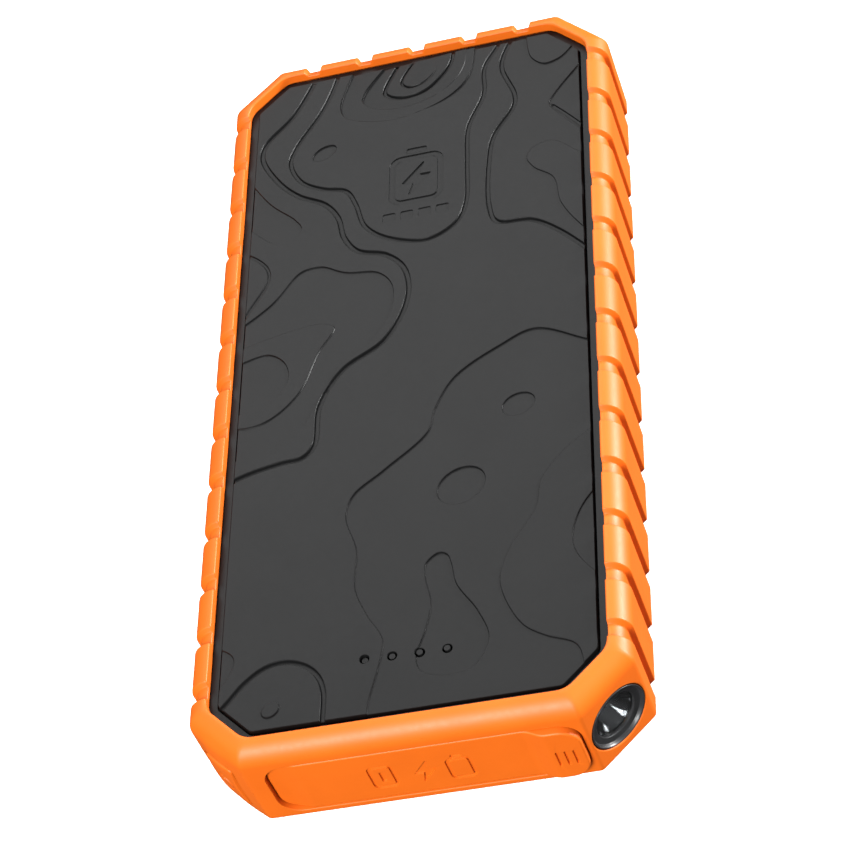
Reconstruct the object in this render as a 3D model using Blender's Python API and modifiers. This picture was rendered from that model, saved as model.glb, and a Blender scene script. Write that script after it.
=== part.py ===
"""Rugged power bank: rubber jacket, two-part case, cells, board, ports, torch and button.

Units are metres. The bank lies on its rear face at z = 0, its length runs along Y with the
ports at the -Y end, and the front panel faces +Z. Distances called "inset" are measured
inwards from the crest of the jacket's side walls.
"""
import math

import bmesh
import bpy
from mathutils import Matrix, Vector

# Overall size
WIDTH = 0.0830
LENGTH = 0.1784
HEIGHT = 0.0250
CORNER = 0.0101
GAP = 0.0002

# Rubber jacket
SHOULDER = 0.0043
FOOT_CHAMFER = 0.0037
JACKET_WALL = 0.0024
FRONT_LIP = 0.0041
REAR_LIP = 0.0060
LIP_THICKNESS = 0.0021
POCKET_TOP_CHAMFER = 0.0016
POCKET_FOOT_CHAMFER = 0.0026
GROOVE_DEPTH = 0.0011
GROOVE_FLOOR = 0.0024
GROOVE_SLOPE = 0.55
SIDE_GROOVES = 13
SIDE_PITCH = 0.01224
END_GROOVES = 5
END_PITCH = 0.0117

# Case shells and panels
CASE_INSET = JACKET_WALL + GAP
CASE_LOW = LIP_THICKNESS + GAP
CASE_HIGH = HEIGHT - CASE_LOW
CASE_WALL = 0.0018
SPLIT = HEIGHT / 2
CAVITY_INSET = CASE_INSET + CASE_WALL
CAVITY_LOW = 0.0048
CAVITY_HIGH = HEIGHT - CAVITY_LOW
PANEL_POCKET = 0.0010
PANEL_TOP = 0.0236
PANEL_INSET = 0.0059
REAR_PANEL_INSET = 0.0074
REAR_PANEL_LOW = 0.0016
PANEL_ROUND = 0.0015
WINDOW_ROUND = 0.0022

# Gasket in the split between the shells
GASKET_INSET = 0.0032
GASKET_WIDTH = 0.0006
GASKET_END = -0.0750

# Flap over the ports, in the -Y end
FRONT_FACE = -LENGTH / 2
FLAP_LEFT = -0.0280
FLAP_RIGHT = 0.0302
FLAP_LOW = 0.0052
FLAP_HIGH = 0.0195
FLAP_ROUND = 0.0040
RECESS_FLOOR = FRONT_FACE + 0.0018
FLAP_BACK = RECESS_FLOOR - GAP
FLAP_FACE = FRONT_FACE + 0.0001
STRAP_FACE = FLAP_BACK - 0.0007
TAB_FACE = FRONT_FACE - 0.0014
TAB_RAMP = (0.0200, 0.0245)
TAB_EDGE = 0.0008
HINGE_X = -0.0253
ANCHOR_RIGHT = HINGE_X - 0.0005
STRAP_LENGTH = 0.0019
STRAP_RAMP = 0.0009
HINGE_Y = (FLAP_BACK + STRAP_FACE) / 2
BEND_NOTCH = 0.0006
SEAL_RIB_TIP = FLAP_BACK + 0.0022
SEAL_RIB_WALL = 0.0010
PEG_RADIUS = 0.0010
PEG_HEIGHTS = (0.0090, 0.0157)
PEG_TIP = FRONT_FACE + 0.0037

# Port bay behind the flap
BAY_HALF_WIDTH = 0.0234
BAY_LOW = 0.0071
BAY_HIGH = 0.0175
BAY_FRAME_WALL = 0.0012
BAY_BACK = FRONT_FACE + 0.0063
BAY_PLATE = 0.0010

# Main board and ports
BOARD_TOP = 0.0094
BOARD_THICKNESS = 0.0010
BOARD_REAR = -0.0532
BOARD_GAP = 0.0007
BOARD_LEFT_LEG = 0.0040
BOARD_TORCH_LEG = 0.0119
PORT_MOUTH = BAY_BACK + 0.0001
USB_A_SIZE = (0.0132, 0.0140, 0.0057)
USB_A_WALL = 0.00035
USB_A_CORE = 0.0035
USB_A_X = 0.0160
USB_C_SIZE = (0.0090, 0.0074, 0.0032)
USB_C_WALL = 0.0003
USB_C_CORE = 0.0018

# Tongues inside the ports as (width, set back from the mouth, thickness)
USB_A_TONGUE = (0.0110, 0.0008, 0.0018)
USB_A_TONGUE_RISE = 0.0007
USB_C_TONGUE = (0.0066, 0.0006, 0.0007)

# Parts on the board, as places on it and sizes; a chip is (name, x, y, half of its side)
INDUCTORS = ((-0.0130, -0.0605), (-0.0040, -0.0605))
INDUCTOR_HALF = 0.0036
INDUCTOR_HEIGHT = 0.0040
INDUCTOR_ROUND = 0.0005
CHIPS = (
    ("charge_controller", 0.0050, -0.0600, 0.0030),
    ("output_controller", 0.0140, -0.0600, 0.0025),
    ("cell_switch", 0.0215, -0.0610, 0.0020),
)
CHIP_HEIGHT = 0.0010
CAPACITORS = ((-0.0215, -0.0655), (0.0290, -0.0655))
CAPACITOR_RADIUS = 0.0031
CAPACITOR_HEIGHT = 0.0055
LED_SIZE = (0.0016, 0.0010, 0.0006)

# Charge indicators
LIGHT_COUNT = 4
LIGHT_PITCH = 0.00514
LIGHT_Y = -0.0712
LIGHT_RADIUS = 0.0006
LIGHT_HOLE = 0.00095
LIGHT_BAR = (0.0028, 0.0015)
LIGHT_BAR_GAP = 0.0005

# Torch in the right front corner and button in the left front corner
CORNER_MID_HEIGHT = 0.0123
BEZEL_RADIUS = 0.00655
BEZEL_FACE = -0.0001
BARREL_RADIUS = 0.0054
TORCH_BORE = 0.00475
TORCH_END = -0.0094
BEZEL_EDGE = 0.0003
BEZEL_FLOOR = -0.0013
BEZEL_BACK = -0.0021
LENS_FACE = -0.0013
LENS_BACK = -0.0018
CUP_MOUTH = -0.0019
CUP_BACK = -0.0076
LED_BACK = -0.0082
BUTTON_WIDTH = 0.0080
BUTTON_HEIGHT = 0.0120
BUTTON_ROUND = 0.0012
BUTTON_DOME = 0.0006
BUTTON_BACK = -0.0018
STEM_WIDTH = 0.0044
STEM_HEIGHT = 0.0050
STEM_TIP = -0.0056
PLUNGER_TIP = STEM_TIP - 0.00035
PLUNGER_RADIUS = 0.0016
SWITCH_FACE = -0.0069
SWITCH_SIZE = (0.0060, 0.0054, 0.0035)
SWITCH_BORE = 0.0013
PLUNGER_ROOM = 0.0004

# Cells
CELL_HALF_WIDTH = 0.0350
CELL_FRONT = -0.0455
CELL_REAR = 0.0760
CELL_THICKNESS = 0.0071
CELL_ROUND = 0.0015
PAD_THICKNESS = 0.0004
PAD_HALF_WIDTH = 0.0300
PAD_MARGIN = 0.0100
CELL_FENCE = ((-0.0310, -0.0506), (0.0310, -0.0496))
CELL_FENCE_TOP = 0.0115
PROTECTION_BOARD = ((-0.0220, -0.0482, 0.0060), (0.0220, -0.0472, 0.0190))

# Leads; each is (name, where it sits across, finish)
CELL_LEADS = (("cell_lead_red", 0.0090, "red_insulation"), ("cell_lead_black", -0.0160, "black_plastic"))
CELL_LEAD_RADIUS = 0.0007
CELL_LEAD_BEND = 0.0030
CELL_LEAD_START = (-0.0485, 0.0150)
CELL_LEAD_END_Y = -0.0545
TORCH_LEADS = (("torch_lead_red", 0.0012, "red_insulation"), ("torch_lead_black", -0.0012, "black_plastic"))
TORCH_LEAD_RADIUS = 0.0004
TORCH_LEAD_BEND = 0.0014
TORCH_LEAD_END = (0.0275, -0.0715)

# Fasteners: the shell screws come in from the rear, the board screws from the front
SHELL_SCREWS = ((-0.0275, 0.0792), (0.0275, 0.0792), (-0.0310, -0.0501), (0.0310, -0.0501))
BOARD_SCREWS = ((-0.0290, -0.0580), (0.0290, -0.0580))
BOSS_RADIUS = 0.0028
SCREW_RADIUS = 0.0010
SCREW_HEAD_RADIUS = 0.0019
SCREW_HEAD_HEIGHT = 0.0014
SCREW_TIP = 0.0190
SCREW_PILOT_TOP = 0.0196
BOARD_SCREW_RADIUS = 0.0008
BOARD_SCREW_HEAD = 0.0016
BOARD_SCREW_HEIGHT = 0.0010
BOARD_POST_RADIUS = 0.0020

OVERLAP = 0.0010
ROUND_STEPS = 24
SMALL_STEPS = 16
LIGHT_STEPS = 12
TORCH_STEPS = 32

COLORS = {
    "orange_rubber": ((0.95, 0.20, 0.02), 0.55, 0.0),
    "dark_plastic": ((0.045, 0.045, 0.047), 0.55, 0.0),
    "black_plastic": ((0.02, 0.02, 0.02), 0.35, 0.0),
    "clear_plastic": ((0.85, 0.88, 0.90), 0.10, 0.0),
    "chrome": ((0.80, 0.80, 0.82), 0.10, 1.0),
    "steel": ((0.55, 0.55, 0.57), 0.30, 1.0),
    "green_board": ((0.02, 0.12, 0.05), 0.40, 0.0),
    "pouch_foil": ((0.60, 0.61, 0.63), 0.35, 1.0),
    "white_plastic": ((0.80, 0.80, 0.78), 0.50, 0.0),
    "yellow_phosphor": ((0.85, 0.65, 0.12), 0.40, 0.0),
    "grey_silicone": ((0.25, 0.26, 0.28), 0.60, 0.0),
    "red_insulation": ((0.55, 0.02, 0.02), 0.45, 0.0),
    "ferrite": ((0.10, 0.10, 0.11), 0.60, 0.0),
}


# Scene and small helpers -----------------------------------------------------------------

def clear_scene():
    """Remove everything that a new file may hold."""
    for item in list(bpy.data.objects):
        bpy.data.objects.remove(item, do_unlink=True)


def new_collection(name):
    collection = bpy.data.collections.new(name)
    bpy.context.scene.collection.children.link(collection)
    return collection


clear_scene()
PARTS = new_collection("power_bank")
CUTTERS = new_collection("cutters")
MATERIALS = {}


def material(name):
    """Principled material from the colour table, made once."""
    if name not in MATERIALS:
        color, roughness, metallic = COLORS[name]
        made = bpy.data.materials.new(name)
        made.use_nodes = True
        shader = made.node_tree.nodes["Principled BSDF"]
        shader.inputs["Base Color"].default_value = (*color, 1.0)
        shader.inputs["Roughness"].default_value = roughness
        shader.inputs["Metallic"].default_value = metallic
        MATERIALS[name] = made
    return MATERIALS[name]


def add_object(name, mesh, finish, matrix=None):
    """Put a mesh in the model, or among the cutters when it has no finish."""
    made = bpy.data.objects.new(name, mesh)
    if finish:
        mesh.materials.append(material(finish))
        PARTS.objects.link(made)
    else:
        made.hide_render = True
        made.display_type = "WIRE"
        CUTTERS.objects.link(made)
    if matrix is not None:
        made.matrix_world = matrix
    return made


def mesh_from(name, bm):
    """Turn a bmesh into a mesh with its faces pointing out."""
    bmesh.ops.recalc_face_normals(bm, faces=bm.faces[:])
    mesh = bpy.data.meshes.new(name)
    bm.to_mesh(mesh)
    bm.free()
    return mesh


def join_solids(target, tool, operation):
    """Boolean of two solids; the tool is kept with the cutters."""
    step = target.modifiers.new(tool.name, "BOOLEAN")
    step.operation = operation
    step.solver = "EXACT"
    step.object = tool


def cut(target, *tools):
    for tool in tools:
        join_solids(target, tool, "DIFFERENCE")


def add(target, *tools):
    for tool in tools:
        join_solids(target, tool, "UNION")


def keep_inside(target, tool):
    join_solids(target, tool, "INTERSECT")


# Outlines --------------------------------------------------------------------------------

def octagon(inset):
    """Body outline with 45 degree corners, moved inwards by inset."""
    half_w = WIDTH / 2 - inset
    half_l = LENGTH / 2 - inset
    leg = CORNER - inset * (2 - math.sqrt(2))
    right = [(half_w, leg - half_l), (half_w, half_l - leg), (half_w - leg, half_l)]
    left = [(leg - half_w, half_l), (-half_w, half_l - leg), (-half_w, leg - half_l)]
    return right + left + [(leg - half_w, -half_l), (half_w - leg, -half_l)]


def rectangle(x_low, x_high, y_low, y_high):
    return [(x_low, y_low), (x_high, y_low), (x_high, y_high), (x_low, y_high)]


def rounded(outline, radius, steps=4):
    """Outline with an arc of the given radius at each corner."""
    points = []
    count = len(outline)
    for i in range(count):
        here = Vector(outline[i])
        before = (Vector(outline[i - 1]) - here).normalized()
        after = (Vector(outline[(i + 1) % count]) - here).normalized()
        half = before.angle(after) / 2
        middle = here + (before + after).normalized() * (radius / math.sin(half))
        start = here + before * (radius / math.tan(half)) - middle
        turn = start.angle_signed(here + after * (radius / math.tan(half)) - middle)
        for k in range(steps + 1):
            angle = -turn * k / steps
            point = Matrix.Rotation(angle, 2) @ start + middle
            points.append((point.x, point.y))
    return points


# Solids ----------------------------------------------------------------------------------

def prism(name, outlines, low, high, finish=None, matrix=None):
    """Straight prism over a flat outline; further outlines are holes."""
    curve = bpy.data.curves.new(name, "CURVE")
    curve.dimensions = "2D"
    curve.fill_mode = "BOTH"
    curve.extrude = (high - low) / 2
    for outline in outlines:
        spline = curve.splines.new("POLY")
        spline.points.add(len(outline) - 1)
        for point, (x, y) in zip(spline.points, outline):
            point.co = (x, y, 0.0, 1.0)
        spline.use_cyclic_u = True
    guide = bpy.data.objects.new(name + "_outline", curve)
    CUTTERS.objects.link(guide)
    depsgraph = bpy.context.evaluated_depsgraph_get()
    raw = bpy.data.meshes.new_from_object(guide.evaluated_get(depsgraph))
    bpy.data.objects.remove(guide, do_unlink=True)
    bm = bmesh.new()
    bm.from_mesh(raw)
    bmesh.ops.remove_doubles(bm, verts=bm.verts[:], dist=1e-6)
    flat = math.radians(0.5)
    bmesh.ops.dissolve_limit(bm, angle_limit=flat, verts=bm.verts[:], edges=bm.edges[:])
    bmesh.ops.translate(bm, verts=bm.verts[:], vec=(0, 0, (low + high) / 2))
    return add_object(name, mesh_from(name, bm), finish, matrix)


def bevel_rim(target, height, width, segments=1):
    """Round or chamfer the edges that run round a prism at one height."""
    bm = bmesh.new()
    bm.from_mesh(target.data)
    rim = [e for e in bm.edges if all(abs(v.co.z - height) < 1e-6 for v in e.verts)]
    bmesh.ops.bevel(bm, geom=rim, offset=width, segments=segments, profile=0.5, affect="EDGES")
    bm.to_mesh(target.data)
    bm.free()
    return target


def box(name, low, high, finish=None, matrix=None, bevel=0.0):
    """Box between two corners, with optional rounded edges."""
    size = Vector(high) - Vector(low)
    middle = (Vector(high) + Vector(low)) / 2
    bm = bmesh.new()
    bmesh.ops.create_cube(bm, size=1.0)
    bmesh.ops.scale(bm, verts=bm.verts[:], vec=size)
    if bevel:
        bmesh.ops.bevel(bm, geom=bm.edges[:], offset=bevel, segments=2, profile=0.5, affect="EDGES")
    bmesh.ops.translate(bm, verts=bm.verts[:], vec=middle)
    return add_object(name, mesh_from(name, bm), finish, matrix)


def rod(name, radius, low, high, finish=None, matrix=None, steps=ROUND_STEPS):
    """Cylinder along local Z."""
    bm = bmesh.new()
    place = Matrix.Translation((0, 0, (low + high) / 2))
    bmesh.ops.create_cone(bm, cap_ends=True, segments=steps, radius1=radius, radius2=radius,
                          depth=high - low, matrix=place)
    return add_object(name, mesh_from(name, bm), finish, matrix)


def turned(name, profile, finish=None, matrix=None, closed=False, steps=ROUND_STEPS):
    """Turned solid; the profile runs down its outer side, as (radius, height) pairs."""
    mesh = bpy.data.meshes.new(name)
    count = len(profile)
    edges = [(i, i + 1) for i in range(count - 1)]
    if closed:
        edges.append((count - 1, 0))
    mesh.from_pydata([(r, 0.0, z) for r, z in profile], edges, [])
    made = add_object(name, mesh, finish, matrix)
    screw = made.modifiers.new("Turn", "SCREW")
    screw.steps = steps
    screw.render_steps = steps
    screw.use_merge_vertices = True
    screw.merge_threshold = 0.00001
    return made


def wire(name, points, radius, finish):
    """Insulated wire through smooth points, with closed ends."""
    curve = bpy.data.curves.new(name, "CURVE")
    curve.dimensions = "3D"
    curve.bevel_depth = radius
    curve.bevel_resolution = 1
    curve.use_fill_caps = True
    spline = curve.splines.new("POLY")
    spline.points.add(len(points) - 1)
    for point, place in zip(spline.points, points):
        point.co = (*place, 1.0)
    made = bpy.data.objects.new(name, curve)
    curve.materials.append(material(finish))
    PARTS.objects.link(made)
    return made


def arc_path(start, end, rise, steps=8):
    """Points of a half-sine hop from one place to another."""
    start, end = Vector(start), Vector(end)
    points = []
    for i in range(steps + 1):
        t = i / steps
        lift = Vector((0, 0, rise * math.sin(math.pi * t)))
        points.append(tuple(start.lerp(end, t) + lift))
    return points


def loft(bm, sections, matrix):
    """Add a closed solid through sections with the same number of points."""
    rings = []
    for section in sections:
        rings.append([bm.verts.new(matrix @ Vector(point)) for point in section])
    count = len(rings[0])
    faces = [bm.faces.new(rings[0]), bm.faces.new(rings[-1])]
    for first, second in zip(rings, rings[1:]):
        for i in range(count):
            k = (i + 1) % count
            faces.append(bm.faces.new((first[i], first[k], second[k], second[i])))
    bmesh.ops.triangulate(bm, faces=faces)


def at(x, y, z=0.0):
    return Matrix.Translation((x, y, z))


def corner_frame(side):
    """Frame on a front corner cut: x along the cut, y up, z out of the jacket."""
    middle = at(side * (WIDTH - CORNER) / 2, -(LENGTH - CORNER) / 2, CORNER_MID_HEIGHT)
    turn = Matrix.Rotation(side * math.radians(45), 4, "Z")
    return middle @ turn @ Matrix.Rotation(math.radians(90), 4, "X")


END_FRAME = Matrix.Rotation(math.radians(90), 4, "X")
TORCH_FRAME = corner_frame(1)
BUTTON_FRAME = corner_frame(-1)


# Rubber jacket ---------------------------------------------------------------------------

def groove_section(offset):
    """Profile of the jacket's outside, moved outwards by offset, from foot to window."""
    foot = FOOT_CHAMFER - offset * math.sqrt(2)
    radius = SHOULDER + offset
    points = [(-(foot + OVERLAP), -OVERLAP), (offset, foot + offset)]
    for i in range(7):
        angle = math.radians(90 * i / 6)
        points.append((radius * math.cos(angle) - SHOULDER, HEIGHT - SHOULDER + radius * math.sin(angle)))
    points.append((-2 * SHOULDER, HEIGHT + offset))
    return points


def groove_cutter():
    """Every groove across the shoulder: flat floor, sloping walls."""
    outside = 0.0010
    floor_half = GROOVE_FLOOR / 2
    mouth_half = floor_half + GROOVE_SLOPE * (GROOVE_DEPTH + outside)
    sections = []
    for floor, mouth in zip(groove_section(-GROOVE_DEPTH), groove_section(outside)):
        sections.append([
            (floor[0], -floor_half, floor[1]),
            (floor[0], floor_half, floor[1]),
            (mouth[0], mouth_half, mouth[1]),
            (mouth[0], -mouth_half, mouth[1]),
        ])
    bm = bmesh.new()
    for place in groove_places():
        loft(bm, sections, place)
    return add_object("grooves", mesh_from("grooves", bm), None)


def groove_places():
    """Placements of every groove on the two long sides and the rear end."""
    places = []
    for i in range(SIDE_GROOVES):
        y = (i - (SIDE_GROOVES - 1) / 2) * SIDE_PITCH
        places.append(at(WIDTH / 2, y))
        places.append(at(-WIDTH / 2, y) @ Matrix.Rotation(math.pi, 4, "Z"))
    for i in range(END_GROOVES):
        x = (i - (END_GROOVES - 1) / 2) * END_PITCH
        places.append(at(x, LENGTH / 2) @ Matrix.Rotation(math.pi / 2, 4, "Z"))
    return places


def flap_recess_outline(margin):
    outline = rectangle(FLAP_LEFT - margin, FLAP_RIGHT + margin, FLAP_LOW - margin, FLAP_HIGH + margin)
    return rounded(outline, FLAP_ROUND + margin)


def bay_outline(margin):
    return rectangle(-BAY_HALF_WIDTH - margin, BAY_HALF_WIDTH + margin, BAY_LOW - margin, BAY_HIGH + margin)


def button_outline(width, height, radius):
    return rounded(rectangle(-width / 2, width / 2, -height / 2, height / 2), radius)


def build_jacket():
    jacket = prism("rubber_jacket", [octagon(0.0)], 0.0, HEIGHT, "orange_rubber")
    bevel_rim(jacket, HEIGHT, SHOULDER, 6)
    bevel_rim(jacket, 0.0, FOOT_CHAMFER)
    top_window = prism("top_window", [rounded(octagon(FRONT_LIP), WINDOW_ROUND)], SPLIT, HEIGHT + OVERLAP)
    rear_window = prism("rear_window", [rounded(octagon(REAR_LIP), WINDOW_ROUND)], -OVERLAP, SPLIT)
    pocket = prism("pocket", [octagon(JACKET_WALL)], LIP_THICKNESS, HEIGHT - LIP_THICKNESS)
    bevel_rim(pocket, HEIGHT - LIP_THICKNESS, POCKET_TOP_CHAMFER)
    bevel_rim(pocket, LIP_THICKNESS, POCKET_FOOT_CHAMFER)
    outside = -FRONT_FACE + OVERLAP
    recess = prism("flap_recess", [flap_recess_outline(GAP)], -RECESS_FLOOR, outside, None, END_FRAME)
    bay = prism("bay_window", [bay_outline(0.0)], -RECESS_FLOOR - 2 * OVERLAP, outside, None, END_FRAME)
    torch_hole = rod("torch_hole", BEZEL_RADIUS + GAP, -2 * JACKET_WALL, OVERLAP, None, TORCH_FRAME, 32)
    outline = button_outline(BUTTON_WIDTH + 2 * GAP, BUTTON_HEIGHT + 2 * GAP, BUTTON_ROUND + GAP)
    button_hole = prism("button_hole", [outline], -2 * JACKET_WALL, OVERLAP, None, BUTTON_FRAME)
    cut(jacket, pocket, top_window, rear_window, recess, bay, torch_hole, button_hole)
    for z in PEG_HEIGHTS:
        cut(jacket, peg_hole("jacket_peg_hole", z, FRONT_FACE, FRONT_FACE + 2 * JACKET_WALL))
    cut(jacket, groove_cutter())
    return jacket


# Case ------------------------------------------------------------------------------------

def peg_hole(name, height, y_low, y_high):
    place = at((FLAP_LEFT + ANCHOR_RIGHT) / 2, 0.0, height) @ END_FRAME
    return rod(name, PEG_RADIUS + GAP, -y_high, -y_low, None, place, SMALL_STEPS)


def case_block(name, low, high, finish=None):
    """Outside of the closed case, kept between two heights."""
    whole = prism(name, [octagon(CASE_INSET)], CASE_LOW, CASE_HIGH, finish)
    bevel_rim(whole, CASE_HIGH, POCKET_TOP_CHAMFER)
    bevel_rim(whole, CASE_LOW, POCKET_FOOT_CHAMFER)
    slab = box(name + "_slab", (-WIDTH, -LENGTH, low), (WIDTH, LENGTH, high))
    keep_inside(whole, slab)
    return whole


def cut_case_openings(shell, name):
    """Windows for the port bay, the torch, the button stem and the strap pegs."""
    cut(shell, prism(name + "_bay", [bay_outline(0.0)], -BAY_BACK, -FRONT_FACE, None, END_FRAME))
    cut(shell, rod(name + "_torch", BARREL_RADIUS + GAP, TORCH_END, 0.0, None, TORCH_FRAME))
    stem = button_outline(STEM_WIDTH + 2 * GAP, STEM_HEIGHT + 2 * GAP, BUTTON_ROUND)
    cut(shell, prism(name + "_stem", [stem], STEM_TIP, 0.0, None, BUTTON_FRAME))


def build_front_shell():
    shell = case_block("front_shell", SPLIT + GAP / 2, HEIGHT, "dark_plastic")
    cut(shell, prism("front_cavity", [octagon(CAVITY_INSET)], 0.0, CAVITY_HIGH))
    for i, (x, y) in enumerate(SHELL_SCREWS):
        place = at(x, y)
        boss_low = SPLIT + GAP / 2
        add(shell, rod(f"front_boss_{i + 1}", BOSS_RADIUS, boss_low, CAVITY_HIGH + OVERLAP, None, place))
        radius = SCREW_RADIUS + GAP
        cut(shell, rod(f"front_pilot_{i + 1}", radius, 0.0, SCREW_PILOT_TOP, None, place, SMALL_STEPS))
    pocket = rounded(octagon(PANEL_INSET - GAP), PANEL_ROUND)
    cut(shell, prism("front_panel_pocket", [pocket], CASE_HIGH - PANEL_POCKET, HEIGHT))
    for i, x in enumerate(light_places()):
        place = at(x, LIGHT_Y)
        cut(shell, rod(f"shell_light_hole_{i + 1}", LIGHT_HOLE, SPLIT, HEIGHT, None, place, SMALL_STEPS))
    cut_case_openings(shell, "front_shell")
    cut(shell, peg_hole("front_shell_peg_hole", PEG_HEIGHTS[1], FRONT_FACE, PEG_TIP + GAP))
    return shell


def build_rear_shell():
    top = SPLIT - GAP / 2
    shell = case_block("rear_shell", 0.0, top, "dark_plastic")
    cut(shell, prism("rear_cavity", [octagon(CAVITY_INSET)], CAVITY_LOW, HEIGHT))
    start, end = CELL_FENCE
    add(shell, box("cell_fence", (*start, CAVITY_LOW - OVERLAP), (*end, CELL_FENCE_TOP)))
    for i, (x, y) in enumerate(SHELL_SCREWS):
        add(shell, rod(f"rear_boss_{i + 1}", BOSS_RADIUS, CAVITY_LOW - OVERLAP, top, None, at(x, y)))
    for i, (x, y) in enumerate(BOARD_SCREWS):
        place = at(x, y)
        low = CAVITY_LOW - OVERLAP
        high = board_low() - GAP
        add(shell, rod(f"board_post_{i + 1}", BOARD_POST_RADIUS, low, high, None, place, SMALL_STEPS))
        radius = BOARD_SCREW_RADIUS + GAP
        cut(shell, rod(f"board_pilot_{i + 1}", radius, CAVITY_LOW + 2 * GAP, SPLIT, None, place, SMALL_STEPS))
    pocket = rounded(octagon(REAR_PANEL_INSET - GAP), PANEL_ROUND)
    floor = CASE_LOW + PANEL_POCKET
    cut(shell, prism("rear_panel_pocket", [pocket], 0.0, floor))
    for i, (x, y) in enumerate(SHELL_SCREWS):
        radius = SCREW_HEAD_RADIUS + GAP
        seat = floor + SCREW_HEAD_HEIGHT + 2 * GAP
        place = at(x, y)
        cut(shell, rod(f"rear_bore_{i + 1}", SCREW_RADIUS + GAP, 0.0, HEIGHT, None, place, SMALL_STEPS))
        cut(shell, rod(f"rear_seat_{i + 1}", radius, 0.0, seat, None, place, SMALL_STEPS))
    groove = [octagon(GASKET_INSET - GAP), octagon(GASKET_INSET + GASKET_WIDTH + GAP)]
    cut(shell, prism("gasket_groove", groove, top - GASKET_WIDTH, HEIGHT))
    cut_case_openings(shell, "rear_shell")
    cut(shell, peg_hole("rear_shell_peg_hole", PEG_HEIGHTS[0], FRONT_FACE, PEG_TIP + GAP))
    return shell


def build_gasket():
    """Silicone cord in the split; it ends behind the two front corners."""
    top = SPLIT
    ring = [octagon(GASKET_INSET), octagon(GASKET_INSET + GASKET_WIDTH)]
    gasket = prism("shell_gasket", ring, top - GASKET_WIDTH, top, "grey_silicone")
    cut(gasket, box("gasket_gap", (-WIDTH, -LENGTH, 0.0), (WIDTH, GASKET_END, HEIGHT)))
    return gasket


def light_places():
    return [(i - (LIGHT_COUNT - 1) / 2) * LIGHT_PITCH for i in range(LIGHT_COUNT)]


def build_panels():
    low = CASE_HIGH - PANEL_POCKET + GAP
    outline = rounded(octagon(PANEL_INSET), PANEL_ROUND)
    front = prism("front_panel", [outline], low, PANEL_TOP, "dark_plastic")
    for i, x in enumerate(light_places()):
        place = at(x, LIGHT_Y)
        cut(front, rod(f"panel_light_hole_{i + 1}", LIGHT_HOLE, SPLIT, HEIGHT, None, place, SMALL_STEPS))
    outline = rounded(octagon(REAR_PANEL_INSET), PANEL_ROUND)
    high = CASE_LOW + PANEL_POCKET - GAP
    prism("rear_panel", [outline], REAR_PANEL_LOW, high, "dark_plastic")


# Flap ------------------------------------------------------------------------------------

def ramp(start, end, low, high, steps=6):
    """Smooth S between two levels."""
    points = []
    for i in range(steps + 1):
        t = i / steps
        points.append((start + (end - start) * t, low + (high - low) * (1 - math.cos(math.pi * t)) / 2))
    return points


def build_flap():
    """Flap body from the hinge line to the pull tab, with its sealing rib."""
    end_x = HINGE_X + GAP
    thick_x = HINGE_X + STRAP_LENGTH
    profile = [(end_x, FLAP_BACK), (end_x, STRAP_FACE)]
    profile += ramp(thick_x, thick_x + STRAP_RAMP, STRAP_FACE, FLAP_FACE, 3)
    profile += ramp(TAB_RAMP[0], TAB_RAMP[1], FLAP_FACE, TAB_FACE)
    profile += [(FLAP_RIGHT - TAB_EDGE, TAB_FACE), (FLAP_RIGHT, TAB_FACE + TAB_EDGE), (FLAP_RIGHT, FLAP_BACK)]
    flap = prism("usb_flap", [profile], FLAP_LOW, FLAP_HIGH, "orange_rubber")
    outside = -TAB_FACE + OVERLAP
    face = prism("flap_outline", [flap_recess_outline(0.0)], -SEAL_RIB_TIP, outside, None, END_FRAME)
    keep_inside(flap, face)
    for name, z in (("lower", FLAP_LOW), ("upper", FLAP_HIGH)):
        low = (HINGE_X, FLAP_FACE, z - BEND_NOTCH)
        cut(flap, box(f"bend_notch_{name}", low, (thick_x, 0.0, z + BEND_NOTCH)))
    margin = -BAY_FRAME_WALL - 2 * GAP
    rib = [bay_outline(margin), bay_outline(margin - SEAL_RIB_WALL)]
    add(flap, prism("seal_rib", rib, -SEAL_RIB_TIP, -FLAP_BACK + GAP, None, END_FRAME))
    return flap


def build_anchor():
    """Root of the flap's strap, held by two pegs in the case."""
    outline = rectangle(FLAP_LEFT, ANCHOR_RIGHT, FLAP_LOW, FLAP_HIGH)
    anchor = prism("flap_anchor", [outline], -FLAP_BACK, -STRAP_FACE, "orange_rubber", END_FRAME)
    face = prism("anchor_outline", [flap_recess_outline(0.0)], -PEG_TIP, -TAB_FACE, None, END_FRAME)
    keep_inside(anchor, face)
    for i, z in enumerate(PEG_HEIGHTS):
        place = at((FLAP_LEFT + ANCHOR_RIGHT) / 2, 0.0, z) @ END_FRAME
        peg = rod(f"peg_{i + 1}", PEG_RADIUS, -PEG_TIP, -FLAP_BACK + GAP, None, place, SMALL_STEPS)
        add(anchor, peg)
    return anchor


# Board and ports -------------------------------------------------------------------------

def board_low():
    return BOARD_TOP - BOARD_THICKNESS


def usb_a_outline(x, inset):
    half = USB_A_SIZE[0] / 2 - inset
    low = BOARD_TOP + GAP + inset
    return rectangle(x - half, x + half, low, BOARD_TOP + GAP + USB_A_SIZE[2] - inset)


def usb_c_outline(inset):
    half = USB_C_SIZE[0] / 2 - inset
    low = BOARD_TOP + GAP + inset
    high = BOARD_TOP + GAP + USB_C_SIZE[2] - inset
    return rounded(rectangle(-half, half, low, high), (high - low) / 2 - 0.00005, 5)


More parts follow.
